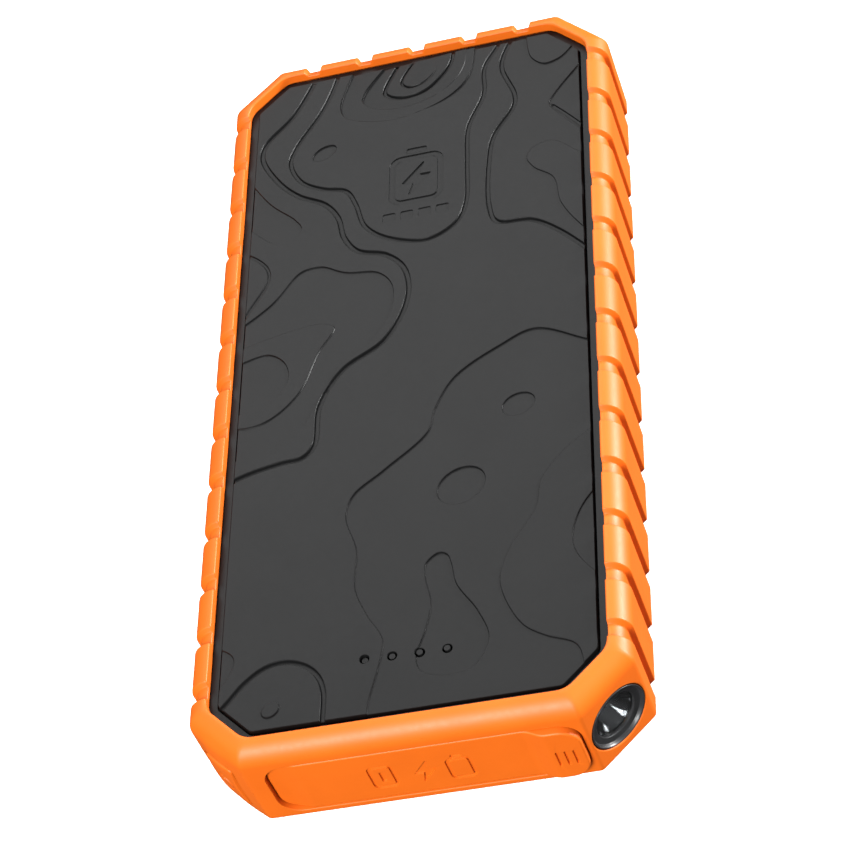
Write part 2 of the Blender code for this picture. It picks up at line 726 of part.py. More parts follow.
def build_port_frame():
    """Collar in the case wall that the flap seals in, with a plate round the ports."""
    collar = [bay_outline(-GAP), bay_outline(-BAY_FRAME_WALL)]
    rear = -BAY_BACK - BAY_PLATE
    behind = rear - BAY_PLATE
    frame = prism("port_frame", collar, rear, -FRONT_FACE - CASE_INSET, "black_plastic", END_FRAME)
    add(frame, prism("port_plate", [bay_outline(-GAP * 2)], rear, -BAY_BACK, None, END_FRAME))
    for name, x in (("left", -USB_A_X), ("right", USB_A_X)):
        hole = usb_a_outline(x, -GAP)
        cut(frame, prism(f"plate_hole_{name}", [hole], behind, -FRONT_FACE, None, END_FRAME))
    cut(frame, prism("plate_hole_c", [usb_c_outline(-GAP)], behind, -FRONT_FACE, None, END_FRAME))
    return frame


def build_usb_a(side, x):
    rear = PORT_MOUTH + USB_A_SIZE[1]
    walls = [usb_a_outline(x, 0.0), usb_a_outline(x, USB_A_WALL)]
    prism(f"usb_a_shell_{side}", walls, -rear, -PORT_MOUTH, "steel", END_FRAME)
    outline = [usb_a_outline(x, USB_A_WALL + GAP)]
    core = prism(f"usb_a_core_{side}", outline, -rear, USB_A_CORE - rear, "white_plastic", END_FRAME)
    half_w = USB_A_TONGUE[0] / 2
    half_h = USB_A_TONGUE[2] / 2
    middle = BOARD_TOP + GAP + USB_A_SIZE[2] / 2 + USB_A_TONGUE_RISE
    low = (x - half_w, PORT_MOUTH + USB_A_TONGUE[1], middle - half_h)
    add(core, box(f"usb_a_tongue_{side}", low, (x + half_w, rear - OVERLAP, middle + half_h)))


def build_usb_c():
    rear = PORT_MOUTH + USB_C_SIZE[1]
    walls = [usb_c_outline(0.0), usb_c_outline(USB_C_WALL)]
    prism("usb_c_shell", walls, -rear, -PORT_MOUTH, "steel", END_FRAME)
    outline = [usb_c_outline(USB_C_WALL + GAP)]
    core = prism("usb_c_core", outline, -rear, USB_C_CORE - rear, "black_plastic", END_FRAME)
    half_w = USB_C_TONGUE[0] / 2
    half_h = USB_C_TONGUE[2] / 2
    middle = BOARD_TOP + GAP + USB_C_SIZE[2] / 2
    low = (-half_w, PORT_MOUTH + USB_C_TONGUE[1], middle - half_h)
    add(core, box("usb_c_tongue", low, (half_w, rear - OVERLAP, middle + half_h)))


def build_board():
    """Main board: its right corner is cut back to clear the torch."""
    front = BAY_BACK + BAY_PLATE + BOARD_GAP
    half = WIDTH / 2 - CAVITY_INSET - BOARD_GAP
    outline = [
        (-half, BOARD_REAR), (-half, front + BOARD_LEFT_LEG), (BOARD_LEFT_LEG - half, front),
        (half - BOARD_TORCH_LEG, front), (half, front + BOARD_TORCH_LEG), (half, BOARD_REAR),
    ]
    board = prism("main_board", [outline], board_low(), BOARD_TOP, "green_board")
    radius = BOARD_SCREW_RADIUS + GAP
    for i, (x, y) in enumerate(BOARD_SCREWS):
        cut(board, rod(f"board_hole_{i + 1}", radius, 0.0, SPLIT, None, at(x, y), SMALL_STEPS))
    return board


def build_components():
    """The larger parts soldered to the board."""
    base = BOARD_TOP + GAP
    for i, (x, y) in enumerate(INDUCTORS):
        low = (x - INDUCTOR_HALF, y - INDUCTOR_HALF, base)
        high = (x + INDUCTOR_HALF, y + INDUCTOR_HALF, base + INDUCTOR_HEIGHT)
        box(f"inductor_{i + 1}", low, high, "ferrite", None, INDUCTOR_ROUND)
    for name, x, y, half in CHIPS:
        box(name, (x - half, y - half, base), (x + half, y + half, base + CHIP_HEIGHT), "black_plastic")
    high = base + CAPACITOR_HEIGHT
    for i, (x, y) in enumerate(CAPACITORS):
        rod(f"capacitor_{i + 1}", CAPACITOR_RADIUS, base, high, "pouch_foil", at(x, y), SMALL_STEPS)
    half_w = LED_SIZE[0] / 2
    half_l = LED_SIZE[1] / 2
    for i, x in enumerate(light_places()):
        low = (x - half_w, LIGHT_Y - half_l, base)
        top = (x + half_w, LIGHT_Y + half_l, base + LED_SIZE[2])
        box(f"indicator_led_{i + 1}", low, top, "yellow_phosphor")


def build_light_pipe():
    """One clear moulding with a rod for each indicator."""
    bar_high = CAVITY_HIGH - LIGHT_BAR_GAP
    half = LIGHT_BAR[0] / 2
    reach = LIGHT_PITCH * LIGHT_COUNT / 2 + OVERLAP
    low = (-reach, LIGHT_Y - half, bar_high - LIGHT_BAR[1])
    pipe = box("light_pipe", low, (reach, LIGHT_Y + half, bar_high), "clear_plastic")
    start = BOARD_TOP + LED_SIZE[2] + LIGHT_BAR_GAP
    end = PANEL_TOP - LIGHT_BAR_GAP
    for i, x in enumerate(light_places()):
        add(pipe, rod(f"light_rod_{i + 1}", LIGHT_RADIUS, start, end, None, at(x, LIGHT_Y), LIGHT_STEPS))
    return pipe


# Button and switch -----------------------------------------------------------------------

def build_button():
    """Key with a bulged face and a stem that reaches the switch; origin on its slide axis."""
    outline = button_outline(BUTTON_WIDTH, BUTTON_HEIGHT, BUTTON_ROUND)
    key = prism("power_button", [outline], BUTTON_BACK, BUTTON_DOME, "orange_rubber", BUTTON_FRAME)
    bevel_rim(key, BUTTON_DOME, BUTTON_DOME, 3)
    stem = button_outline(STEM_WIDTH, STEM_HEIGHT, BUTTON_ROUND - GAP)
    add(key, prism("button_stem", [stem], STEM_TIP, BUTTON_BACK + OVERLAP / 2, None, BUTTON_FRAME))
    return key


def build_switch():
    half_w = SWITCH_SIZE[0] / 2
    half_h = SWITCH_SIZE[1] / 2
    low = (-half_w, -half_h, SWITCH_FACE - SWITCH_SIZE[2])
    body = box("switch_body", low, (half_w, half_h, SWITCH_FACE), "black_plastic", BUTTON_FRAME)
    bore = SWITCH_FACE - SWITCH_BORE
    cut(body, rod("switch_bore", PLUNGER_RADIUS + GAP, bore, 0.0, None, BUTTON_FRAME, SMALL_STEPS))
    low = bore + PLUNGER_ROOM
    rod("switch_plunger", PLUNGER_RADIUS, low, PLUNGER_TIP, "white_plastic", BUTTON_FRAME, SMALL_STEPS)


# Torch -----------------------------------------------------------------------------------

def build_torch():
    """Bezel, lens, reflector, emitter and its aluminium board, all on the corner's axis."""
    bezel = [
        (BEZEL_RADIUS - BEZEL_EDGE, BEZEL_FACE), (BEZEL_RADIUS, BEZEL_FACE - BEZEL_EDGE),
        (BEZEL_RADIUS, BEZEL_BACK), (BARREL_RADIUS, BEZEL_BACK), (BARREL_RADIUS, TORCH_END),
        (TORCH_BORE, TORCH_END), (TORCH_BORE, BEZEL_FLOOR), (BEZEL_RADIUS - 2 * BEZEL_EDGE, BEZEL_FLOOR),
    ]
    turned("torch_bezel", bezel, "dark_plastic", TORCH_FRAME, True, TORCH_STEPS)
    edge = TORCH_BORE - GAP
    lens = [(0.0, LENS_FACE), (edge, LENS_FACE), (edge, LENS_BACK), (0.0, LENS_BACK)]
    turned("torch_lens", lens, "clear_plastic", TORCH_FRAME)
    cup = [
        (edge, CUP_MOUTH), (edge, CUP_MOUTH - 0.0007), (0.0022, CUP_BACK), (0.0015, CUP_BACK),
        (edge - 0.0003, CUP_MOUTH),
    ]
    turned("torch_reflector", cup, "chrome", TORCH_FRAME, True)
    dome = [(0.0, -0.0067), (0.0007, -0.0069), (0.0011, -0.0074), (0.0012, LED_BACK), (0.0, LED_BACK)]
    turned("torch_led", dome, "yellow_phosphor", TORCH_FRAME, False, SMALL_STEPS)
    rod("torch_board", edge, TORCH_END + GAP, LED_BACK - GAP, "pouch_foil", TORCH_FRAME)


# Cells, wiring and fasteners -------------------------------------------------------------

def build_cells():
    low = CAVITY_LOW + GAP
    heights = (("cell_lower", low), ("cell_upper", CAVITY_HIGH - GAP - CELL_THICKNESS))
    for name, base in heights:
        high = (CELL_HALF_WIDTH, CELL_REAR, base + CELL_THICKNESS)
        box(name, (-CELL_HALF_WIDTH, CELL_FRONT, base), high, "pouch_foil", None, CELL_ROUND)
    half = PAD_THICKNESS / 2
    low = (-PAD_HALF_WIDTH, CELL_FRONT + PAD_MARGIN, SPLIT - half)
    box("cell_pad", low, (PAD_HALF_WIDTH, CELL_REAR - PAD_MARGIN, SPLIT + half), "grey_silicone")
    box("protection_board", *PROTECTION_BOARD, "green_board")


def build_wiring():
    board = BOARD_TOP + GAP
    for name, x, finish in CELL_LEADS:
        end = (x, CELL_LEAD_END_Y, board + CELL_LEAD_RADIUS + GAP / 2)
        path = arc_path(Vector((x, *CELL_LEAD_START)), end, CELL_LEAD_BEND)
        wire(name, path, CELL_LEAD_RADIUS, finish)
    for name, side, finish in TORCH_LEADS:
        start = TORCH_FRAME @ Vector((side, 0.0, TORCH_END - TORCH_LEAD_RADIUS - GAP))
        end_x, end_y = TORCH_LEAD_END
        end = (end_x + side, end_y + side, board + TORCH_LEAD_RADIUS + GAP)
        wire(name, arc_path(start, end, TORCH_LEAD_BEND), TORCH_LEAD_RADIUS, finish)


def screw_profile(radius, head_radius, head_low, head_high, tip):
    """Pan-head screw with its head up; a shallow socket marks the drive."""
    socket = head_radius * 0.45
    depth = (head_high - head_low) * 0.5
    return [
        (0.0, head_high - depth), (socket, head_high - depth), (socket, head_high),
        (head_radius * 0.8, head_high), (head_radius, head_high - depth), (head_radius, head_low),
        (radius, head_low), (radius, tip + radius), (0.0, tip),
    ]


def build_screws():
    upside_down = Matrix.Rotation(math.pi, 4, "X")
    head_low = -(CASE_LOW + PANEL_POCKET + GAP + SCREW_HEAD_HEIGHT)
    head_high = head_low + SCREW_HEAD_HEIGHT
    profile = screw_profile(SCREW_RADIUS, SCREW_HEAD_RADIUS, head_low, head_high, -SCREW_TIP)
    for i, (x, y) in enumerate(SHELL_SCREWS):
        turned(f"shell_screw_{i + 1}", profile, "steel", at(x, y) @ upside_down, False, SMALL_STEPS)
    low = BOARD_TOP + GAP
    high = low + BOARD_SCREW_HEIGHT
    profile = screw_profile(BOARD_SCREW_RADIUS, BOARD_SCREW_HEAD, low, high, CAVITY_LOW + BOARD_GAP)
    for i, (x, y) in enumerate(BOARD_SCREWS):
        turned(f"board_screw_{i + 1}", profile, "steel", at(x, y), False, SMALL_STEPS)


def place_origin(item, point):
    """Move a piece's origin to a point without moving its shape."""
    old = item.matrix_world.copy()
    new = Matrix.Translation(point)
    item.data.transform(new.inverted() @ old)
    item.matrix_world = new


def build():
    build_jacket()
    build_front_shell()
    build_rear_shell()
    build_gasket()
    build_panels()
    flap = build_flap()
    build_anchor()
    build_port_frame()
    build_usb_a("left", -USB_A_X)
    build_usb_a("right", USB_A_X)
    build_usb_c()
    build_board()
    build_components()
    build_light_pipe()
    build_button()
    build_switch()
    build_torch()
    build_cells()
    build_wiring()
    build_screws()
    place_origin(flap, (HINGE_X, HINGE_Y, SPLIT))


build()
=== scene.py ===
"""Looks of the rugged power bank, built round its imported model.

Shapes are worked out in millimetres and written in metres. The bank lies on its rear face:
x is its width, y its length with the ports at the -y end, and z its thickness. "Inset" is
a distance inwards from the crest of the jacket's side walls.
"""
import math

import bmesh
import bpy
import numpy as np
from mathutils import Matrix, Vector
from mathutils.geometry import delaunay_2d_cdt


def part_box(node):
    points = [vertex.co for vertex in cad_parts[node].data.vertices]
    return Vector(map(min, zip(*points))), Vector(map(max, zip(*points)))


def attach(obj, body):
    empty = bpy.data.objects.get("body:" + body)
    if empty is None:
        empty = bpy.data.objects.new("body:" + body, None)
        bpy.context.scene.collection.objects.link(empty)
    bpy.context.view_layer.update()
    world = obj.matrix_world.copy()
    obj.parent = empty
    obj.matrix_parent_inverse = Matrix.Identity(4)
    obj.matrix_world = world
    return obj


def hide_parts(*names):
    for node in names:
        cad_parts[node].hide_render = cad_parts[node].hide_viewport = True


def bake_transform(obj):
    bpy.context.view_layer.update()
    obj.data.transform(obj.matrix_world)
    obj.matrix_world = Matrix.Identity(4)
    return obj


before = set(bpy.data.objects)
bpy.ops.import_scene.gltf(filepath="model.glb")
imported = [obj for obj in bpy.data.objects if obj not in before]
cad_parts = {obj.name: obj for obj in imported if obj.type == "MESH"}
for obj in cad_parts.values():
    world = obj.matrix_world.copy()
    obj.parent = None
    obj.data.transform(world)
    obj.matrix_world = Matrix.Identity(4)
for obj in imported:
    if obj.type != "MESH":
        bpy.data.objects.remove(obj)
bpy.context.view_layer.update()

MM = 0.001


def span(node):
    """Lowest and highest corner of a CAD node, in millimetres."""
    low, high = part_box(node)
    return Vector(round(v / MM, 3) for v in low), Vector(round(v / MM, 3) for v in high)


# Sizes read from the frame ---------------------------------------------------------------

JACKET_LOW, JACKET_HIGH = span("rubber_jacket")
WIDTH = JACKET_HIGH.x - JACKET_LOW.x
LENGTH = JACKET_HIGH.y - JACKET_LOW.y
HEIGHT = JACKET_HIGH.z
FRONT = JACKET_LOW.y
PANEL_LOW, PANEL_HIGH = span("front_panel")
REAR_PANEL_LOW, REAR_PANEL_HIGH = span("rear_panel")
FLAP_LOW, FLAP_HIGH = span("usb_flap")
ANCHOR_LOW = span("flap_anchor")[0]

# Jacket
CORNER = 10.1
SHOULDER = 4.3
FOOT_CHAMFER = 3.7
FRONT_LIP = 4.1
REAR_LIP = 6.0
LIP_THICKNESS = 2.1
JACKET_WALL = 2.4
SIDE_GROOVES, SIDE_PITCH = 13, 12.24
END_GROOVES, END_PITCH = 5, 11.7

# Panels
PANEL_ROUND = 1.5
LIGHT_COUNT, LIGHT_PITCH, LIGHT_Y = 4, 5.14, -71.2    # indicator holes
LIGHT_HOLE = 0.95

# Flap
FLAP_ROUND = 4.0
GAP = 0.2
FLAP_BACK = -87.6
STRAP_FACE = -88.3
FLAP_FACE = -89.1

# Front corners
CORNER_MID_HEIGHT = 12.3
BEZEL_RADIUS = 6.55
BUTTON_SIZE = (8.0, 12.0)
BUTTON_ROUND = 1.2
BUTTON_SHY = 0.35
BUTTON_SWELL = 1.2


# Small helpers ---------------------------------------------------------------------------

def corner_frame(side):
    """Frame on a front corner cut: x along the cut, y up, z out of the jacket."""
    middle = (side * (WIDTH - CORNER) / 2, -(LENGTH - CORNER) / 2, CORNER_MID_HEIGHT)
    turn = Matrix.Rotation(side * math.radians(45), 4, "Z")
    return Matrix.Translation(middle) @ turn @ Matrix.Rotation(math.radians(90), 4, "X")


END_FRAME = Matrix.Rotation(math.radians(90), 4, "X")
TORCH_FRAME = corner_frame(1)
BUTTON_FRAME = corner_frame(-1)


def object_from(name, bm, matrix=Matrix.Identity(4)):
    """Object from a bmesh in millimetres, with its place in its mesh."""
    bmesh.ops.recalc_face_normals(bm, faces=bm.faces[:])
    bm.transform(Matrix.Scale(MM, 4) @ matrix)
    mesh = bpy.data.meshes.new(name)
    bm.to_mesh(mesh)
    bm.free()
    made = bpy.data.objects.new(name, mesh)
    bpy.context.scene.collection.objects.link(made)
    return made


def bake(piece):
    """Apply every modifier."""
    graph = bpy.context.evaluated_depsgraph_get()
    mesh = bpy.data.meshes.new_from_object(piece.evaluated_get(graph))
    piece.modifiers.clear()
    piece.data = mesh


def boolean(piece, tool, operation="DIFFERENCE"):
    """Boolean with a tool that is used up."""
    step = piece.modifiers.new("Boolean", "BOOLEAN")
    step.operation = operation
    step.solver = "EXACT"
    step.object = tool
    bake(piece)
    bpy.data.objects.remove(tool, do_unlink=True)


def dress(piece, body, finish, *nodes, slot=None, sharp=38.0):
    """Shade a piece, give it its material and put it on its CAD body in place of some nodes."""
    piece.data.shade_smooth()
    piece.data.set_sharp_from_angle(angle=math.radians(sharp))
    step = piece.modifiers.new("Normals", "WEIGHTED_NORMAL")
    step.keep_sharp = True
    step.weight = 80
    bake(piece)
    piece.data.materials.clear()
    piece.data.materials.append(FINISH[finish])
    if body:
        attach(piece, body)
    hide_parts(*nodes)


# Outlines --------------------------------------------------------------------------------

def octagon(inset):
    """Body outline with 45 degree corners, moved inwards by inset."""
    half_w = WIDTH / 2 - inset
    half_l = LENGTH / 2 - inset
    leg = CORNER - inset * (2 - math.sqrt(2))
    right = [(half_w, leg - half_l), (half_w, half_l - leg), (half_w - leg, half_l)]
    left = [(leg - half_w, half_l), (-half_w, half_l - leg), (-half_w, leg - half_l)]
    return right + left + [(leg - half_w, -half_l), (half_w - leg, -half_l)]


def rounded(outline, radius, steps=6):
    """Outline with an arc of the given radius at each corner."""
    points = []
    count = len(outline)
    for i in range(count):
        here = Vector(outline[i])
        before = (Vector(outline[i - 1]) - here).normalized()
        after = (Vector(outline[(i + 1) % count]) - here).normalized()
        half = before.angle(after) / 2
        middle = here + (before + after).normalized() * (radius / math.sin(half))
        start = here + before * (radius / math.tan(half)) - middle
        end = here + after * (radius / math.tan(half)) - middle
        turn = start.angle_signed(end)
        for k in range(steps + 1):
            points.append(Matrix.Rotation(-turn * k / steps, 2) @ start + middle)
    return points


def rectangle(x_low, x_high, y_low, y_high):
    return [(x_low, y_low), (x_high, y_low), (x_high, y_high), (x_low, y_high)]


def centred(width, height, x=0.0, y=0.0):
    return rectangle(x - width / 2, x + width / 2, y - height / 2, y + height / 2)


def circle(x, y, radius, steps=32):
    angles = [math.tau * k / steps for k in range(steps)]
    return [Vector((x + radius * math.cos(a), y + radius * math.sin(a))) for a in angles]


def ellipse(x, y, length, width, tilt, steps=40):
    turn = Matrix.Rotation(math.radians(tilt), 2)
    middle = Vector((x, y))
    return [middle + turn @ Vector((length / 2 * math.cos(math.tau * k / steps),
                                    width / 2 * math.sin(math.tau * k / steps))) for k in range(steps)]


def smooth(points, closed=False, step=0.55):
    """Centripetal curve through given points."""
    knots = [Vector(p) for p in points]
    if closed:
        knots = [knots[-1]] + knots + knots[:2]
    else:
        knots = [2 * knots[0] - knots[1]] + knots + [2 * knots[-1] - knots[-2]]
    line = []
    for a, b, c, d in zip(knots, knots[1:], knots[2:], knots[3:]):
        t1, t2, t3 = (math.sqrt((q - p).length) for p, q in ((a, b), (b, c), (c, d)))
        leave = ((b - a) / t1 - (c - a) / (t1 + t2) + (c - b) / t2) * t2
        arrive = ((c - b) / t2 - (d - b) / (t2 + t3) + (d - c) / t3) * t2
        count = max(2, round((c - b).length / step))
        for k in range(count):
            t = k / count
            line.append(b * (2 * t**3 - 3 * t**2 + 1) + leave * (t**3 - 2 * t**2 + t)
                        + c * (3 * t**2 - 2 * t**3) + arrive * (t**3 - t**2))
    if not closed:
        line.append(knots[-2])
    return line


def shifted(line, distance, closed):
    """Line moved sideways, to its left."""
    count = len(line)
    moved = []
    for i, point in enumerate(line):
        before = line[i - 1] if closed or i else line[0]
        after = line[(i + 1) % count] if closed or i + 1 < count else line[-1]
        along = (Vector(after) - Vector(before)).normalized()
        moved.append(Vector((point[0] - along.y * distance, point[1] + along.x * distance)))
    return moved


# Flat pieces with a relief ---------------------------------------------------------------

def is_inside(points, outline):
    """Which points lie inside a closed outline."""
    x, y = points[:, 0], points[:, 1]
    found = np.zeros(len(points), bool)
    shape = np.array([(p[0], p[1]) for p in outline])
    for (x1, y1), (x2, y2) in zip(shape, np.roll(shape, -1, axis=0)):
        if y1 != y2:
            crosses = (y1 > y) != (y2 > y)
            found ^= crosses & (x < (x2 - x1) * (y - y1) / (y2 - y1) + x1)
    return found


def distance_to(points, line, closed, reach):
    """Distance from each point to a line; past the reach it's only known to be larger."""
    shape = np.array([(p[0], p[1]) for p in line])
    starts = shape if closed else shape[:-1]
    ends = np.roll(shape, -1, axis=0) if closed else shape[1:]
    result = np.full(len(points), 1e6)
    near = np.all((points > shape.min(0) - reach) & (points < shape.max(0) + reach), axis=1)
    subset = points[near]
    best = np.full(len(subset), 1e6)
    for start, end in zip(starts, ends):
        along = end - start
        offset = subset - start
        share = np.clip(offset @ along / max(along @ along, 1e-12), 0, 1)
        gap = offset - share[:, None] * along
        best = np.minimum(best, np.einsum("ij,ij->i", gap, gap))
    result[near] = np.sqrt(best)
    return result


CHANNEL_EDGE = ((-0.18, 1.0), (-0.13, 0.96), (-0.02, 0.18), (0.04, 0.04), (0.10, 0.0), (0.24, 0.0))
STEP_EDGE = ((-0.24, 0.0), (-0.11, 0.0), (-0.05, 0.08), (0.03, 0.90), (0.09, 1.0), (0.22, 1.0))
SHARP_EDGE = ((-0.12, 0.0), (-0.03, 0.05), (0.03, 0.95), (0.08, 1.0))


class Channel:
    """Groove of one width that follows a line."""

    def __init__(self, line, width, depth, closed=False):
        self.line, self.width, self.depth, self.closed = line, width, depth, closed

    def rows(self):
        offsets = [self.width / 2 + edge for edge, _ in CHANNEL_EDGE]
        return [(shifted(self.line, side * offset, self.closed), self.closed)
                for offset in offsets for side in (-1, 1)]

    def height(self, points):
        reach = self.width / 2 + CHANNEL_EDGE[-1][0]
        distance = distance_to(points, self.line, self.closed, reach) - self.width / 2
        share = np.interp(distance, [e for e, _ in CHANNEL_EDGE], [s for _, s in CHANNEL_EDGE])
        return -level(self.depth, points) * share


class Step:
    """Area that lies higher or lower than what is round it; a far corner closes an open line."""

    def __init__(self, line, rise, closed=False, far=(), edge=STEP_EDGE):
        self.line, self.rise, self.closed, self.far, self.edge = line, rise, closed, far, edge

    def rows(self):
        return [(shifted(self.line, offset, self.closed), self.closed) for offset, _ in self.edge]

    def height(self, points):
        reach = self.edge[-1][0] + 0.1
        inner = is_inside(points, list(self.line) + [Vector(p) for p in self.far])
        distance = distance_to(points, self.line, self.closed, reach)
        signed = np.where(inner, distance, -distance)
        share = np.interp(signed, [e for e, _ in self.edge], [s for _, s in self.edge])
        return level(self.rise, points) * share


def engraved(outline, depth):
    return Step(outline, -depth, True, edge=SHARP_EDGE)


def engraved_band(outline, width, depth):
    """Engraved band of one width that follows a closed outline."""
    outer = shifted(outline, -width / 2, True)
    inner = shifted(outline, width / 2, True)
    return [engraved(outer, depth), engraved(inner, -depth)]


def level(value, points):
    """A height that is even, or a function of the points."""
    return value(points) if callable(value) else value


def rows_of(features):
    return [row for feature in features for row in feature.rows()]


def relief(base, features, points):
    """Heights of a face at the points: its base with every feature on it."""
    top = np.zeros(len(points)) + base
    for feature in features:
        top += feature.height(points)
    return top


def triangles_over(outline, rows, dots=()):
    """Triangles that fill an outline, with edges along every row."""
    points, edges = [], []
    for line, closed in [(outline, True)] + list(rows):
        start = len(points)
        points.extend(Vector((p[0], p[1])) for p in line)
        edges.extend((start + i, start + i + 1) for i in range(len(line) - 1))
        if closed:
            edges.append((len(points) - 1, start))
    points.extend(Vector((p[0], p[1])) for p in dots)
    made = delaunay_2d_cdt(points, edges, [], 0, 1e-4)
    places = np.array([(p.x, p.y) for p in made[0]])
    faces = np.array([f for f in made[2] if len(f) == 3])
    kept = is_inside(places[faces].mean(axis=1), outline)
    return places, faces[kept]


def slab(name, outline, low, height, rows=(), holes=(), dots=(), dense=False,
         matrix=Matrix.Identity(4)):
    """Closed piece over an outline: its top follows the height function, its base is flat."""
    lines = list(rows) + [(hole, True) for hole in holes]
    places, faces = triangles_over(outline, lines, dots)
    centres = places[faces].mean(axis=1)
    for hole in holes:
        faces = faces[~is_inside(centres, hole)]
        centres = places[faces].mean(axis=1)
    tops = height(places)
    bm = bmesh.new()
    used = np.unique(faces)
    verts = {i: bm.verts.new((places[i][0], places[i][1], tops[i])) for i in used}
    for a, b, c in faces:
        bm.faces.new((verts[a], verts[b], verts[c]))
    rim = [e for e in bm.edges if e.is_boundary]
    if dense:
        below = {i: bm.verts.new((places[i][0], places[i][1], low)) for i in used}
        back = {verts[i]: below[i] for i in used}
        for a, b, c in faces:
            bm.faces.new((below[c], below[b], below[a]))
        for edge in rim:
            a, b = edge.verts
            bm.faces.new((a, b, back[b], back[a]))
    else:
        made = bmesh.ops.extrude_edge_only(bm, edges=rim)["geom"]
        new = {v for v in made if isinstance(v, bmesh.types.BMVert)}
        for vert in new:
            vert.co.z = low
        base = [e for e in made if isinstance(e, bmesh.types.BMEdge) and all(v in new for v in e.verts)]
        bmesh.ops.triangle_fill(bm, edges=base, use_beauty=True)
    return object_from(name, bm, matrix)


def round_edge(radius):
    """Profile of a rounded edge as (distance from the outline, drop below the face)."""
    angles = [math.radians(90 * k / 6) for k in range(7)]
    return [(radius * (1 - math.cos(a)), radius * (1 - math.sin(a))) for a in angles]


def edge_drop(distance, profile):
    return np.interp(distance, [d for d, _ in profile], [drop for _, drop in profile])


def edge_rows(outline_at, profile):
    """Rows that follow an edge profile, from an outline given by its inset."""
    return [(outline_at(distance), True) for distance, _ in profile[1:]]


# Solids through rings --------------------------------------------------------------------

def add_skin(bm, rings, ring_of_rings=False):
    """Add a solid through rings of equal count; the first and last are capped or joined."""
    loops = [[bm.verts.new(point) for point in ring] for ring in rings]
    pairs = list(zip(loops, loops[1:]))
    if ring_of_rings:
        pairs.append((loops[-1], loops[0]))
    else:
        bm.faces.new(loops[0])
        bm.faces.new(loops[-1])
    count = len(loops[0])
    for first, second in pairs:
        for i in range(count):
            k = (i + 1) % count
            bm.faces.new((first[i], first[k], second[k], second[i]))


def skin(name, rings, matrix=Matrix.Identity(4), ring_of_rings=False):
    bm = bmesh.new()
    add_skin(bm, rings, ring_of_rings)
    return object_from(name, bm, matrix)


def lifted(outline, height):
    """Outline as a ring of points at a height."""
    return [(p[0], p[1], height) for p in outline]


def upright(name, outline, low, high, matrix):
    """Solid with an even outline, from low to high."""
    return skin(name, [lifted(outline, low), lifted(outline, high)], matrix)


def mouth_cutter(outline_at, floor, face, radius, matrix):
    """Cutter for a pocket with a rounded mouth; outline_at takes how far it is widened."""
    levels = [(floor, 0.0)]
    for degrees in (0, 25, 50, 75):
        angle = math.radians(degrees)
        levels.append((face - radius + radius * math.sin(angle), radius * (1 - math.cos(angle))))
    levels.append((face + 0.3, levels[-1][1] + 0.3 * math.tan(math.radians(75))))
    rings = [lifted(outline_at(wider), height) for height, wider in levels]
    return skin("mouth", rings, matrix)


def turned(name, profile, matrix, steps=96):
    """Solid of revolution about local z, from a closed profile of radius and height."""
    rings = []
    for k in range(steps):
        cos, sin = math.cos(math.tau * k / steps), math.sin(math.tau * k / steps)
        rings.append([(radius * cos, radius * sin, z) for radius, z in profile])
    made = skin(name, rings, matrix, True)
    bm = bmesh.new()
    bm.from_mesh(made.data)
    bmesh.ops.remove_doubles(bm, verts=bm.verts[:], dist=1e-7)
    bmesh.ops.recalc_face_normals(bm, faces=bm.faces[:])
    bm.to_mesh(made.data)
    bm.free()
    return made


def arc(centre, radius, start, end, steps):
    """Points of an arc in a profile, angles in degrees."""
    points = []
    for k in range(steps + 1):
        angle = math.radians(start + (end - start) * k / steps)
        points.append((centre[0] + radius * math.cos(angle), centre[1] + radius * math.sin(angle)))
    return points


# Materials -------------------------------------------------------------------------------

FINISH = {}


